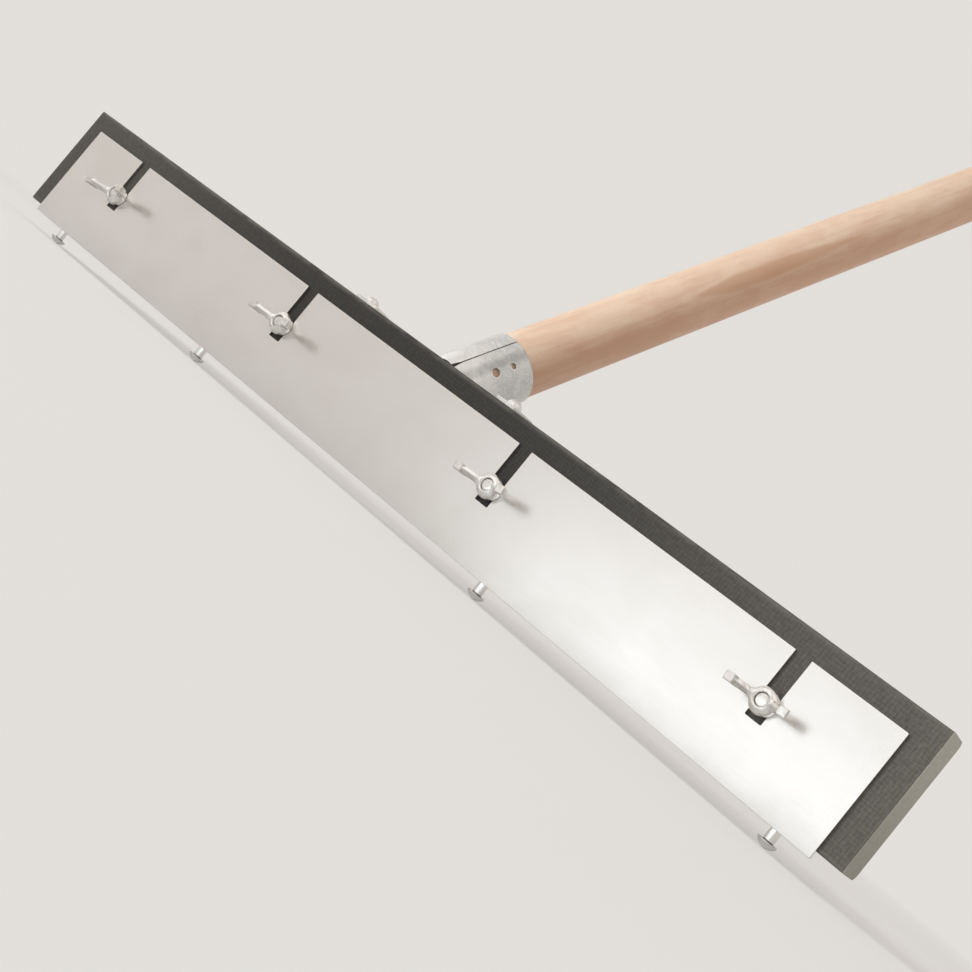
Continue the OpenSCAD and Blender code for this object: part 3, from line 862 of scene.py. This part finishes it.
def nut_field(s, number):
    """Distance field of a wing nut: a bulging hub, two wings with ridged edges, hollowed sides and
    square tips, joined by fillets, with a round bore; a small uneven skin for the casting."""
    base, crown = s.hub_d / 2, s.top_d / 2
    hub = [(0, 0), (base - 0.45, 0), (base - 0.15, 0.8), (base, 2.2), (base - 0.05, 3.4)]
    hub += [(base - 0.55, 4.6), (crown - 0.2, 5.5), (crown - 1.1, s.hub_h), (0, s.hub_h)]
    tip = s.span / 2
    top = s.rise - 0.07
    wing = [(0, 1.4), (base - 0.7, 1.4), (tip - 6.2, 5.4), (tip - 2.3, 8.3), (tip, top - 1.4)]
    wing += [(tip, top), (tip - 4, top), (crown - 1.3, s.hub_h), (0, s.hub_h)]
    hub, wing = np.array(hub), np.array(wing)
    # Roundings: the wing's outline, its long edges, where it meets the hub, the bore and the seat
    soft, edge, joint, rim = 0.5, 0.3, 1.9, 0.25
    inner = wing - outward(wing) * soft

    def field(p):
        a, b, h = p[..., 0], p[..., 1], p[..., 2]
        radius = np.hypot(a, b)
        body = polygon_distance(np.stack([radius, h], -1), hub)
        side = polygon_distance(np.stack([np.abs(a), h], -1), inner) - soft
        out = ease(np.abs(a), tip - 5.0, tip - 3.6)
        hollow = s.dish * ease(-side, 1.3, 2.3) * (1 - out) * ease(np.abs(a), 4.2, 6.0)
        half = s.web / 2 + (s.pad - s.web) / 2 * out - hollow
        # The webs' edges rise to a ridge at the middle of their thickness
        slope = 0.7 * (1 - out)
        flat = np.abs(b) - half + edge
        across = (side + slope * np.abs(b)) / np.hypot(1, slope) + edge
        wall = np.minimum(np.maximum(flat, across), 0)
        wall = wall + np.hypot(np.maximum(flat, 0), np.maximum(across, 0)) - edge
        whole = blend_low(body, wall, joint)
        hole = s.bore_r + 0.4 * ease(h, s.hub_h - 0.6, s.hub_h + 0.1) - radius
        whole = blend_high(whole, hole, rim)
        whole = blend_high(whole, -h, rim)
        wobble = np.sin(1.1 * a + number) * np.sin(1.3 * h + 2 * number) * np.cos(1.2 * b + number)
        clear = ease(radius, s.bore_r + 0.1, s.bore_r + 0.8)
        return whole + 0.05 * wobble * clear * ease(h, 0.3, 2.0)

    return field


def wing_nut_piece(s, number):
    """One wing nut: the surface net of its field, turned about its bolt."""
    reach = s.span / 2 + 1
    low = np.array([-reach, -s.hub_d / 2 - 1, -1.0])
    high = np.array([reach, s.hub_d / 2 + 1, s.rise + 1])
    points, quads = field_skin(nut_field(s, number), low, high, 0.3)
    turn = np.radians(s.turns[number])
    right = (np.cos(turn), 0, np.sin(turn))
    up = (-np.sin(turn), 0, np.cos(turn))
    bolt = node_middle(BOLTS[number])
    seat = node_box(NUTS[number])[1][1]
    skin = Skin()
    first = skin.add(placed(points, (bolt[0], seat, bolt[2]), right, up, (0, -1, 0)))
    skin.quads(quads + first)
    return skin.build(f"wing_nut_cast_{number + 1}", 75)


def bolt_piece(s, number):
    """Carriage bolt: radius over turn and length, a dome, a square neck and a helical thread
    whose depth follows a triangle wave of length over pitch minus turn."""
    columns = 64
    groove = 0.56
    turn = all_round(columns)
    head_h = BOLT_HIGH[1] - BOARD_BACK
    free = BOARD_BACK - BOLT_LOW[1]
    head = s.head_d / 2
    dome = dome_profile(head, head_h, 16) - [0, head_h]
    dome[-1] = (head - 0.12, -0.22)
    seat = np.array([(head, -0.1), (head - 0.1, 0.0), (s.neck / 2 + 1.6, 0.0)])
    rows = [turned(np.concatenate([dome, seat]), columns)]
    half = s.neck / 2
    square = half / np.maximum(np.abs(np.cos(turn)), np.abs(np.sin(turn)))
    square = np.minimum(square, half * 1.32)
    for z in (0.0, s.neck_deep - 0.5, s.neck_deep):
        radius = square if z < s.neck_deep else np.minimum(square, s.shank_d / 2 + 0.1)
        rows.append(ring(radius, turn, z)[None])
    z = np.r_[s.neck_deep + 0.05, 6.0, np.arange(8.0, free - 0.45, s.pitch / 8)][:, None]
    phase = (z / s.pitch - turn / (2 * np.pi)) % 1
    depth = groove * ease(np.abs(2 * phase - 1), 0.05, 0.95) * ease(z, 7.9, 9.0)
    radius = s.shank_d / 2 - depth * (1 - 0.3 * ease(z, free - 1.2, free - 0.5))
    rows.append(ring(radius, turn, z))
    end = [(s.shank_d / 2 - 0.35, free - 0.28), (s.shank_d / 2 - 0.55, free - 0.1)]
    end += [(2.2, free - 0.03), (1.2, free - 0.01), (0.0, free)]
    rows.append(turned(np.array(end), columns))
    x, _, z = node_middle(BOLTS[number])
    solid = placed(np.concatenate(rows), (x, BOARD_BACK, z), (1, 0, 0), (0, 0, 1), (0, -1, 0))
    return shell(f"bolt_{number + 1}", solid, 40)


def pin_piece(s, number):
    """Spacer pin: a profile turned about Z, of a button head, a fine neck line and a long shank."""
    low, high = node_box(PINS[number])
    head = s.head_d / 2
    joint = low[2] + s.head_h
    under = dome_profile(head, s.head_h - 0.6, 14) + [0, low[2]]
    under[-1] = (head - 0.06, joint - 0.72)
    shank = s.shank_d / 2
    rest = [(head, joint - 0.55), (head, joint - 0.18), (head - 0.06, joint - 0.06), (head - 0.2, joint)]
    rest += [(shank + 0.3, joint), (shank - 0.12, joint + 0.04), (shank - 0.12, joint + 0.22)]
    rest += [(shank, joint + 0.34), (shank, high[2] - 0.8), (shank - 0.6, high[2]), (0, high[2])]
    x, y, _ = node_middle(PINS[number])
    solid = turned(np.concatenate([under, np.array(rest)]), 64) + [x, y, 0]
    return shell(f"pin_{number + 1}", solid, 35)


def screw_piece(s, name, origin, right, up, out):
    """Round-head screw: a dome of height over radius, less a cross of two sloped grooves, and a
    shank whose thread is a helix that runs down to the point."""
    columns = 96
    thread = 0.55
    turn = all_round(columns)
    head = s.head_d / 2
    ball = (head**2 + s.head_h**2) / (2 * s.head_h)
    radius = np.concatenate([np.linspace(0, 2.6, 27), np.linspace(2.7, head - 0.05, 14)])[:, None]
    x, y = radius * np.cos(turn), radius * np.sin(turn)
    dome = s.head_h - ball + np.sqrt(ball**2 - radius**2)

    def groove(along, across):
        wall = 1 - ease(np.abs(across), s.recess_w / 2 - 0.12, s.recess_w / 2 + 0.1)
        return wall * (1 - ease(np.abs(along), 0.9, s.recess_len / 2 + 0.15) ** 1.3)

    cross = np.maximum(groove(x, y), groove(y, x))
    top = ring(radius, turn, dome - s.recess_deep * cross)
    rim = np.array([(head, 0.12), (head - 0.1, 0.0), (s.shank_d / 2 + 0.4, 0.0)])
    z = -np.arange(0.0, s.length - 0.05, 0.25)[:, None]
    slim = 1 - 0.75 * ease(-z, s.length - 4.5, s.length)
    phase = (z / s.pitch + turn / (2 * np.pi)) % 1
    ridge = np.maximum(0, 1 - np.abs(2 * phase - 1) * 2.2)
    body = (s.shank_d / 2 - thread * (1 - ridge) * ease(-z, 1.0, 2.5)) * slim
    point = turned(np.array([(0.0, -s.length)]), columns)
    rows = np.concatenate([top, turned(rim, columns), ring(body, turn, z), point])
    return shell(name, placed(rows, origin, right, up, out), 40)


def bracket_piece(s):
    """Folded bracket: the flat plate has a U-shaped notch, whose curve is the ellipse in which the
    socket meets the board's back, and each ear is a flat section carried along a straight line,
    a quarter circle and a straight line over the board."""
    width, low = PLATE_HIGH[0], PLATE_LOW[2]
    inner = width - s.ear_w
    fold = BOARD_TOP - s.bend
    top = BOARD_TOP - s.dip
    slim = bpy.context.scene.sqg_socket.out_r + 0.05
    tall = slim / POLE[1]
    rise = np.arcsin((top - POLE_FOOT[2]) / tall)
    swing = np.linspace(rise, -np.pi - rise, 61)
    notch = np.stack([slim * np.cos(swing), POLE_FOOT[2] + tall * np.sin(swing)], 1)
    # Counter-clockwise from the front: down one ear's inner side, round the notch, up the other's
    fillet = 1.2
    right = arc((inner - fillet, top + fillet), fillet, 0, -90, 4)[1:]
    left = arc((-inner + fillet, top + fillet), fillet, 270, 180, 4)
    start = [(inner, fold), (inner, top + fillet)]
    upper = np.concatenate([start, right, notch, left, [(-inner, fold)]])
    left = arc((-width + s.corner, low + s.corner), s.corner, 180, 270, 8)
    right = arc((width - s.corner, low + s.corner), s.corner, 270, 360, 8)
    lower = np.concatenate([[(-width, fold)], left, right, [(width, fold)]])
    skin = Skin()
    inset, depth = rim_profile(s.sheet, 0.3, 3)
    fronts, backs = [], []
    for line in (upper, lower):
        rows = line - outward(line, closed=False) * inset[:, None, None]
        y = np.broadcast_to(BOARD_BACK + depth[:, None], rows.shape[:2])
        solid = np.stack([rows[..., 0], y, rows[..., 1]], -1)
        skin.grid(solid)
        fronts.append(solid[0])
        backs.append(solid[-1])
    skin.cap(np.concatenate(fronts))
    skin.cap(np.concatenate(backs))
    # Path of an ear: up the board's back, round the bend and forwards over the board
    turn = np.linspace(0, np.pi / 2, 10)
    flat = BOARD_BACK - s.bend
    front = PLATE_LOW[1]
    ahead = np.linspace(0, 1, 24)[1:] * (flat - front)
    still = 0 * ahead
    path_y = np.r_[flat + s.bend * np.cos(turn), flat - ahead]
    path = np.stack([path_y, np.r_[fold + s.bend * np.sin(turn), still + BOARD_TOP]], 1)
    out = np.stack([np.r_[np.cos(turn), still], np.r_[np.sin(turn), still + 1]], 1)
    slant = np.clip((front + s.taper_len - path[:, 0]) / s.taper_len, 0, 1)
    # The ear's front corners are quarter circles in plan
    room = np.clip(fillet - (path[:, 0] - path[-1, 0]), 0, fillet)
    shrink = np.minimum(fillet - np.sqrt(fillet**2 - room**2), fillet - 0.15)
    slant[: len(turn)] = 0
    shrink[: len(turn)] = 0
    # Section of an ear, counter-clockwise from its inner edge's foot
    loop_n = np.r_[depth[::-1], depth]
    loop_i = np.r_[inset[::-1], inset]
    near_side = np.arange(len(loop_n)) < len(depth)
    for side, taper in ((1, s.taper_right), (-1, s.taper_left)):
        near, far = inner + shrink, width - taper * slant - shrink
        x = np.where(near_side, near[:, None] + loop_i, far[:, None] - loop_i)
        spot = path[:, None] + out[:, None] * loop_n[None, :, None]
        solid = np.stack([side * x, spot[..., 0], spot[..., 1]], -1)
        skin.grid(solid, around=True)
        skin.cap(solid[-1])
    return skin.build("bracket_sheet", 40)


def weld_piece(s):
    """Weld bead: a half-round section carried round the ellipse where the socket passes the
    plate, swelling in ripples and tapering to nothing at both ends."""
    socket = bpy.context.scene.sqg_socket
    plane = PLATE_HIGH[1]
    cross = POLE_FOOT[2] + (plane - POLE_FOOT[1]) * POLE[2] / POLE[1]
    top = BOARD_TOP - s.dip - 2.0
    tall = socket.out_r / POLE[1]
    rise = np.arcsin((top - cross) / tall)
    swing = np.linspace(rise, -np.pi - rise, 160)[:, None]
    ends = np.sqrt(np.clip(np.minimum(swing[0] - swing, swing - swing[-1]) / 0.14, 0, 1))
    ripple = 1 + 0.09 * np.sin(swing * 34) + 0.05 * np.sin(swing * 9 + 1)
    turn = all_round(24)
    grow = s.bead * 0.9 * ends * ripple
    out = grow * np.cos(turn)
    lift = grow * 0.85 * np.sin(turn)
    x = (socket.out_r + 0.3 + out) * np.cos(swing)
    z = cross + (tall + 0.3 + out) * np.sin(swing)
    skin = Skin()
    skin.grid(np.stack([x, plane + 0.1 + lift, z], -1), around=True)
    skin.cap(np.stack([x[0], plane + 0.1 + lift[0], z[0]], -1))
    return skin.build("weld_bead", 60)


def socket_piece(s):
    """Rolled socket: a flat pattern of turn and length, slanted at its foot and split by the seam,
    with the nail holes cut by rings between a square of the grid and a circle, wrapped round the
    pole on an outer and an inner wall that the edge profile joins."""
    radius, edge = s.out_r, 0.3
    slope = np.tan(np.radians(POLE_TILT))
    seam = np.radians(s.seam_turn)
    foot_seam = radius * np.cos(seam) * slope
    full = 2 * np.pi * radius

    def foot(a):
        return radius * slope * np.cos(seam + a / radius)

    def gap(b):
        open_part = 1 - np.clip((b - foot_seam) / s.notch_len, 0, 1)
        return s.seam_w / 2 + (s.notch_w - s.seam_w) / 2 * open_part

    # Each hole: its place on the pattern, its radius and half the square that is cut out round it
    hole_a = radius * (np.radians(s.hole_turn) - seam)
    big, small = (hole_a, s.reach - 22.0, 2.25, 4.0), (hole_a, s.reach - 10.5, 1.5, 3.5)
    first = s.seam_w / 2 + edge
    final = full - s.seam_w / 2 - edge
    columns = spaced([first, hole_a - big[3], hole_a + big[3], final], [7, 8, 75])
    # Below this level the rows slant with the foot, above it they are level
    level, slanted = 28.5, 24
    marks = [hole[1] + side * hole[3] for hole in (big, small) for side in (-1, 1)]
    uppers = spaced([level, *marks, s.reach - edge], [7, 8, 1, 8, 7])
    share = np.linspace(0, 1, slanted + 1)[:-1, None]
    start = foot(columns) + edge
    b = np.concatenate([start + (level - start) * share, np.repeat(uppers[:, None], len(columns), 1)])
    place = (columns - first) / (final - first)
    left = gap(b) + edge
    a = left + place * (full - 2 * left)
    flat = np.stack([a, b], -1)
    keep = np.ones((flat.shape[0] - 1, flat.shape[1] - 1), bool)
    rings = []
    rows_up = np.r_[np.full(slanted, -99.0), uppers]
    for hole_x, hole_s, hole_r, half in (big, small):
        i0 = np.argmin(np.abs(columns - hole_x + big[3]))
        i1 = np.argmin(np.abs(columns - hole_x - big[3]))
        j0 = np.argmin(np.abs(rows_up - hole_s + half))
        j1 = np.argmin(np.abs(rows_up - hole_s - half))
        keep[j0:j1, i0:i1] = False
        sides = [flat[j0, i0:i1], flat[j0:j1, i1], flat[j1, i1:i0:-1], flat[j1:j0:-1, i0]]
        square = np.concatenate(sides)
        arm = unit(square - [hole_x, hole_s])
        circle = [hole_x, hole_s] + arm * (hole_r + edge * 0.8)
        mixing = np.linspace(0, 1, 5)[:, None, None]
        rings.append((square + (circle - square) * mixing, circle, arm))

    def wrap(line, depth):
        turn = seam + line[..., 0] / radius
        up = line[..., 1]
        fade = ease(up, 24, 34)
        uneven = 0.10 * np.sin(2 * turn + 0.7) + 0.06 * np.sin(5 * turn + up / 7)
        uneven = uneven + 0.05 * np.sin(7 * turn - up / 3.1) * ease(up, s.reach - 16, s.reach - 4)
        r = radius - depth + uneven * fade - 0.04
        return placed(ring(r, turn - np.pi / 2, up), POLE_FOOT, (1, 0, 0), POLE_SIDE, POLE)

    skin = Skin()
    inset, depth = rim_profile(s.wall, edge, 4)
    border = np.concatenate([flat[0, :-1], flat[:-1, -1], flat[-1, :0:-1], flat[:0:-1, 0]])
    rows = border + outward(border) * (edge - inset)[:, None, None]
    skin.grid(wrap(rows, depth[:, None]), around=True)
    for level_depth in (0.0, s.wall):
        skin.grid(wrap(flat, level_depth), keep=keep)
        for flat_ring, circle, arm in rings:
            skin.grid(wrap(flat_ring, level_depth), around=True)
    inset, depth = rim_profile(s.wall, edge * 0.8, 4)
    for flat_ring, circle, arm in rings:
        rows = circle - arm * (edge * 0.8 - inset)[:, None, None]
        skin.grid(wrap(rows, depth[:, None]), around=True)
    return skin.build("socket_tube")


def handle_piece(s):
    """Pole: radius over length and turn, stepped at the socket's mouth, rounded at its top, with a
    slight unevenness of a few hundredths of a millimetre."""
    # Only the far half needs close rows
    middle = (GRIP_MIDDLE - POLE_FOOT) @ POLE
    end = s.start + s.length - 0.05
    shaft = end - s.rounding
    rows = [(0, s.start), (s.foot_r - 1, s.start), (s.foot_r, s.start + 1)]
    rows += [(s.foot_r, s.shoulder - 0.02), (POLE_R - 0.12, s.shoulder)]
    rows += [(POLE_R - 0.03, s.shoulder + 0.05), (POLE_R, s.shoulder + 0.15)]
    rows += [(POLE_R, z) for z in np.linspace(middle + 2, shaft - 2, 120)]
    rows += [tuple(point) for point in arc((POLE_R - s.rounding, shaft), s.rounding, 0, 90, 10)]
    profile = np.array(rows + [(0, end)], float)
    columns = 96
    turn = all_round(columns)
    solid = turned(profile, columns)
    z = profile[:, 1:]
    wave = 0.03 * np.sin(2 * turn + z / 90) + 0.02 * np.sin(5 * turn - z / 41) - 0.05
    wave = wave * ease(z, s.shoulder + 0.1, s.shoulder + 6) * (1 - ease(z, shaft - 5, shaft))
    solid[..., :2] *= (1 + wave / np.maximum(profile[:, :1], 1))[..., None]
    return shell("pole", placed(solid, POLE_FOOT, (1, 0, 0), POLE_SIDE, POLE))


# Operators


class SQG_OT_blade(bpy.types.Operator):
    """Makes the slotted blade in rolled steel"""

    bl_idname = "squeegee.blade"
    bl_label = "Blade"

    def execute(self, context):
        s = context.scene.sqg_blade
        finished(blade_piece(s), "blade", ["blade_plate"], rolled_steel(s))
        return {"FINISHED"}


class SQG_OT_board(bpy.types.Operator):
    """Gives the backing board its pressed film and sawn ends"""

    bl_idname = "squeegee.board"
    bl_label = "Backing board"

    def execute(self, context):
        board = frame["nodes"]["backing_board"]
        finish = dark_film(context.scene.sqg_board)
        for place in board.material_slots:
            place.material = finish
        return {"FINISHED"}


class SQG_OT_wing_nuts(bpy.types.Operator):
    """Makes the four cast wing nuts, each with its own turn and skin"""

    bl_idname = "squeegee.wing_nuts"
    bl_label = "Wing nuts"

    def execute(self, context):
        s = context.scene.sqg_nuts
        for number, node in enumerate(NUTS):
            piece = wing_nut_piece(s, number)
            finished(piece, f"nut_{number + 1}", [node], cast_zinc(s, number))
        return {"FINISHED"}


class SQG_OT_bolts(bpy.types.Operator):
    """Makes the four carriage bolts with their threads and square necks"""

    bl_idname = "squeegee.bolts"
    bl_label = "Carriage bolts"

    def execute(self, context):
        s = context.scene.sqg_bolts
        finish = plated_steel(s)
        for number, node in enumerate(BOLTS):
            finished(bolt_piece(s, number), "backing", [node], finish)
        return {"FINISHED"}


class SQG_OT_pins(bpy.types.Operator):
    """Makes the four spacer pins with their button heads"""

    bl_idname = "squeegee.pins"
    bl_label = "Spacer pins"

    def execute(self, context):
        s = context.scene.sqg_pins
        finish = pin_metal(s)
        for number, node in enumerate(PINS):
            finished(pin_piece(s, number), "backing", [node], finish)
        return {"FINISHED"}


class SQG_OT_bracket(bpy.types.Operator):
    """Makes the folded bracket, the socket and the weld between them"""

    bl_idname = "squeegee.bracket"
    bl_label = "Bracket and socket"

    def execute(self, context):
        scene = context.scene
        finish = dipped_zinc(scene.sqg_socket)
        made = [
            (bracket_piece(scene.sqg_bracket), "bracket_plate"),
            (weld_piece(scene.sqg_bracket), "socket_weld"),
            (socket_piece(scene.sqg_socket), "handle_socket"),
        ]
        for piece, node in made:
            finished(piece, "backing", [node], finish)
        return {"FINISHED"}


class SQG_OT_screws(bpy.types.Operator):
    """Makes the two ear screws and the two back screws"""

    bl_idname = "squeegee.screws"
    bl_label = "Screws"

    def execute(self, context):
        s = context.scene.sqg_screws
        finish = plated_steel(context.scene.sqg_bolts)
        x, y, z = np.eye(3)
        for node, degrees in SCREWS.items():
            right, up, out = (x, y, z) if node.startswith("ear") else (-x, z, y)
            cos, sin = np.cos(np.radians(degrees)), np.sin(np.radians(degrees))
            right, up = right * cos + up * sin, up * cos - right * sin
            seat = node_box(node)[1] - s.head_h
            origin = np.where(out > 0, seat, node_middle(node))
            piece = screw_piece(s, node.replace("_screw", "_fixing"), origin, right, up, out)
            finished(piece, "backing", [node], finish)
        return {"FINISHED"}


class SQG_OT_handle(bpy.types.Operator):
    """Makes the beech handle"""

    bl_idname = "squeegee.handle"
    bl_label = "Handle"

    def execute(self, context):
        s = context.scene.sqg_handle
        finished(handle_piece(s), "backing", ["handle"], beech(s))
        return {"FINISHED"}


class SQG_OT_stage(bpy.types.Operator):
    """Sets up the floor, the backdrop, the lamps and the camera"""

    bl_idname = "squeegee.stage"
    bl_label = "Stage"

    def execute(self, context):
        s = context.scene.sqg_stage
        scene = context.scene
        scene.view_settings.view_transform = "Standard"
        self.floor(s)
        self.world(scene, s)
        for name, (place, size, glossy) in LAMPS.items():
            self.lamp(scene, f"{name}_lamp", getattr(s, name), place, size, glossy)
        self.camera(scene)
        return {"FINISHED"}

    def floor(self, s):
        """Round floor, a grid of distance and turn, that fades into the backdrop's colour."""
        distance = np.concatenate([[0.0], np.geomspace(0.2, 60, 24)])
        floor = shell("floor", turned(np.stack([distance / MM, 0 * distance + FLOOR], 1), 64))
        f = new_finish("floor_paint")
        x, y, _ = f.parts(f.node("TexCoord", output="Object"))
        away = ((x * x + y * y) ** 0.5).ease(0.5, 2.2)
        paint = f.mix(f.noise(f.here(), 0.01, 3.0, 0.6), s.paint, shade(s.paint, 0.965))
        matt = f.node("BsdfDiffuse", {}, {"Color": paint, "Roughness": 0.0})
        # To gloss the floor is darker beside the blade, and a pool of light before it widens as it
        # comes nearer
        gloss = f.ray("Is Glossy Ray")
        beside = (((abs(x) - 0.3).most(0.0) ** 2 + y * y) ** 0.5).ease(0.08, 0.5)
        lane = abs(x - y * 0.27 - 0.2) / (0.14 - y * 0.34)
        pool = (1 - lane.ease(0.5, 1.3)) * (0 - y).ease(0.02, 0.25) * gloss
        tone = f.mix((1 - beside) * gloss * 0.5, s.ground, shade(s.ground, 0.1))
        lift = f.light("Emission", tone, s.lift)
        shine = f.light("Emission", f.mix(pool, (0.0, 0.0, 0.0), POOL_LIGHT))
        near = f.node("AddShader", {}, {0: matt, 1: lift})
        both = f.node("MixShader", {}, {0: away, 1: near, 2: f.light("Emission", s.ground)})
        whole = f.node("AddShader", {}, {0: both, 1: shine})
        floor.data.materials.append(f.output("Material", whole))

    def world(self, scene, s):
        """A plain fill light, and the pale backdrop to the camera, to gloss and through glass. To
        gloss it has zones by direction: paler on the left, above the front and overhead, dimmer
        on the right and in one upright line."""
        f = Finish(bpy.data.worlds.new("studio"))
        gloss = f.ray("Is Glossy Ray")
        share = f.ray("Is Camera Ray").most(gloss).most(f.ray("Is Transmission Ray"))
        x, y, z = f.parts(f.node("TexCoord", output="Generated"))
        line = 1 - abs(x * 0.819 + y * 0.574).ease(0.03, 0.09)
        line = line * (0 - y).ease(0.2, 0.3) * (1 - z.ease(0.35, 0.6))
        zones = [
            ((0 - x).ease(0.65, 0.95), 1.13),
            ((z * 0.67 - x * 0.36 - y * 0.65).ease(0.8, 0.96), 1.6),
            ((x * 0.45 - y * 0.1 + z * 0.887).ease(0.88, 0.96), 1.4),
            ((x.ease(0.5, 0.75) * 0.2).most(line * 0.8), s.dim),
        ]
        tone = s.ground
        for zone, factor in zones:
            tone = f.mix(zone * gloss, tone, shade(s.ground, factor))
        fill, back = f.light("Background", s.fill), f.light("Background", tone)
        scene.world = f.output("World", f.node("MixShader", {}, {0: share, 1: fill, 2: back}))

    def lamp(self, scene, name, power, place, size, glossy):
        """Oblong softbox that faces the middle of the squeegee."""
        lamp = bpy.data.lights.new(name, "AREA")
        lamp.energy = power
        lamp.shape = "RECTANGLE"
        lamp.size, lamp.size_y = size
        holder = bpy.data.objects.new(name, lamp)
        scene.collection.objects.link(holder)
        holder.matrix_world = facing(place, unit(np.subtract(place, LIT_PLACE)))
        lamp.color = COOL_LIGHT if glossy else PLAIN_LIGHT
        holder.visible_glossy = glossy
        holder.visible_diffuse = not glossy

    def camera(self, scene):
        """Camera fitted to the photograph: close to the floor and rolled."""
        lens = bpy.data.cameras.new("camera")
        lens.sensor_fit = "HORIZONTAL"
        lens.sensor_width = 36.0
        lens.lens = lens.sensor_width * FOCAL_PIXELS / PHOTO_PIXELS
        lens.clip_start = 0.01
        lens.clip_end = 200.0
        camera = bpy.data.objects.new("camera", lens)
        scene.collection.objects.link(camera)
        right = unit(CAMERA_RIGHT)
        up = unit(np.cross(CAMERA_BACK, right))
        camera.matrix_world = pose(CAMERA_PLACE, right, up, np.cross(right, up))
        scene.camera = camera


def pose(place, right, up, back):
    """Matrix of an object at a place with the given directions as its axes."""
    return Matrix([[right[i], up[i], back[i], place[i]] for i in range(3)] + [[0, 0, 0, 1]])


def facing(place, back):
    """Matrix of a lamp at a place that looks against the direction back."""
    right = unit(np.cross((0, 0, 1), back))
    return pose(place, right, np.cross(back, right), back)


OPERATORS = [
    SQG_OT_stage,
    SQG_OT_board,
    SQG_OT_blade,
    SQG_OT_wing_nuts,
    SQG_OT_bolts,
    SQG_OT_pins,
    SQG_OT_bracket,
    SQG_OT_screws,
    SQG_OT_handle,
]


class SQG_PT_panel(bpy.types.Panel):
    """Lists the makers of the squeegee's pieces and their settings"""

    bl_idname = "SQG_PT_panel"
    bl_label = "Squeegee"
    bl_space_type = "VIEW_3D"
    bl_region_type = "UI"
    bl_category = "Squeegee"

    def draw(self, context):
        for maker in OPERATORS:
            self.layout.operator(maker.bl_idname)
        for name, group in GROUPS.items():
            box = self.layout.box()
            box.label(text=group.bl_rna.name)
            for key in group.__annotations__:
                box.prop(getattr(context.scene, name), key)


CLASSES = [*GROUPS.values(), *OPERATORS, SQG_PT_panel]


def register():
    for kind in CLASSES:
        bpy.utils.register_class(kind)
    for name, group in GROUPS.items():
        setattr(bpy.types.Scene, name, bpy.props.PointerProperty(type=group))


def unregister():
    for name in GROUPS:
        delattr(bpy.types.Scene, name)
    for kind in reversed(CLASSES):
        bpy.utils.unregister_class(kind)


def main():
    """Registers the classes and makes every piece."""
    register()
    for maker in OPERATORS:
        family, name = maker.bl_idname.split(".")
        getattr(getattr(bpy.ops, family), name)()


if __name__ == "__main__":
    main()
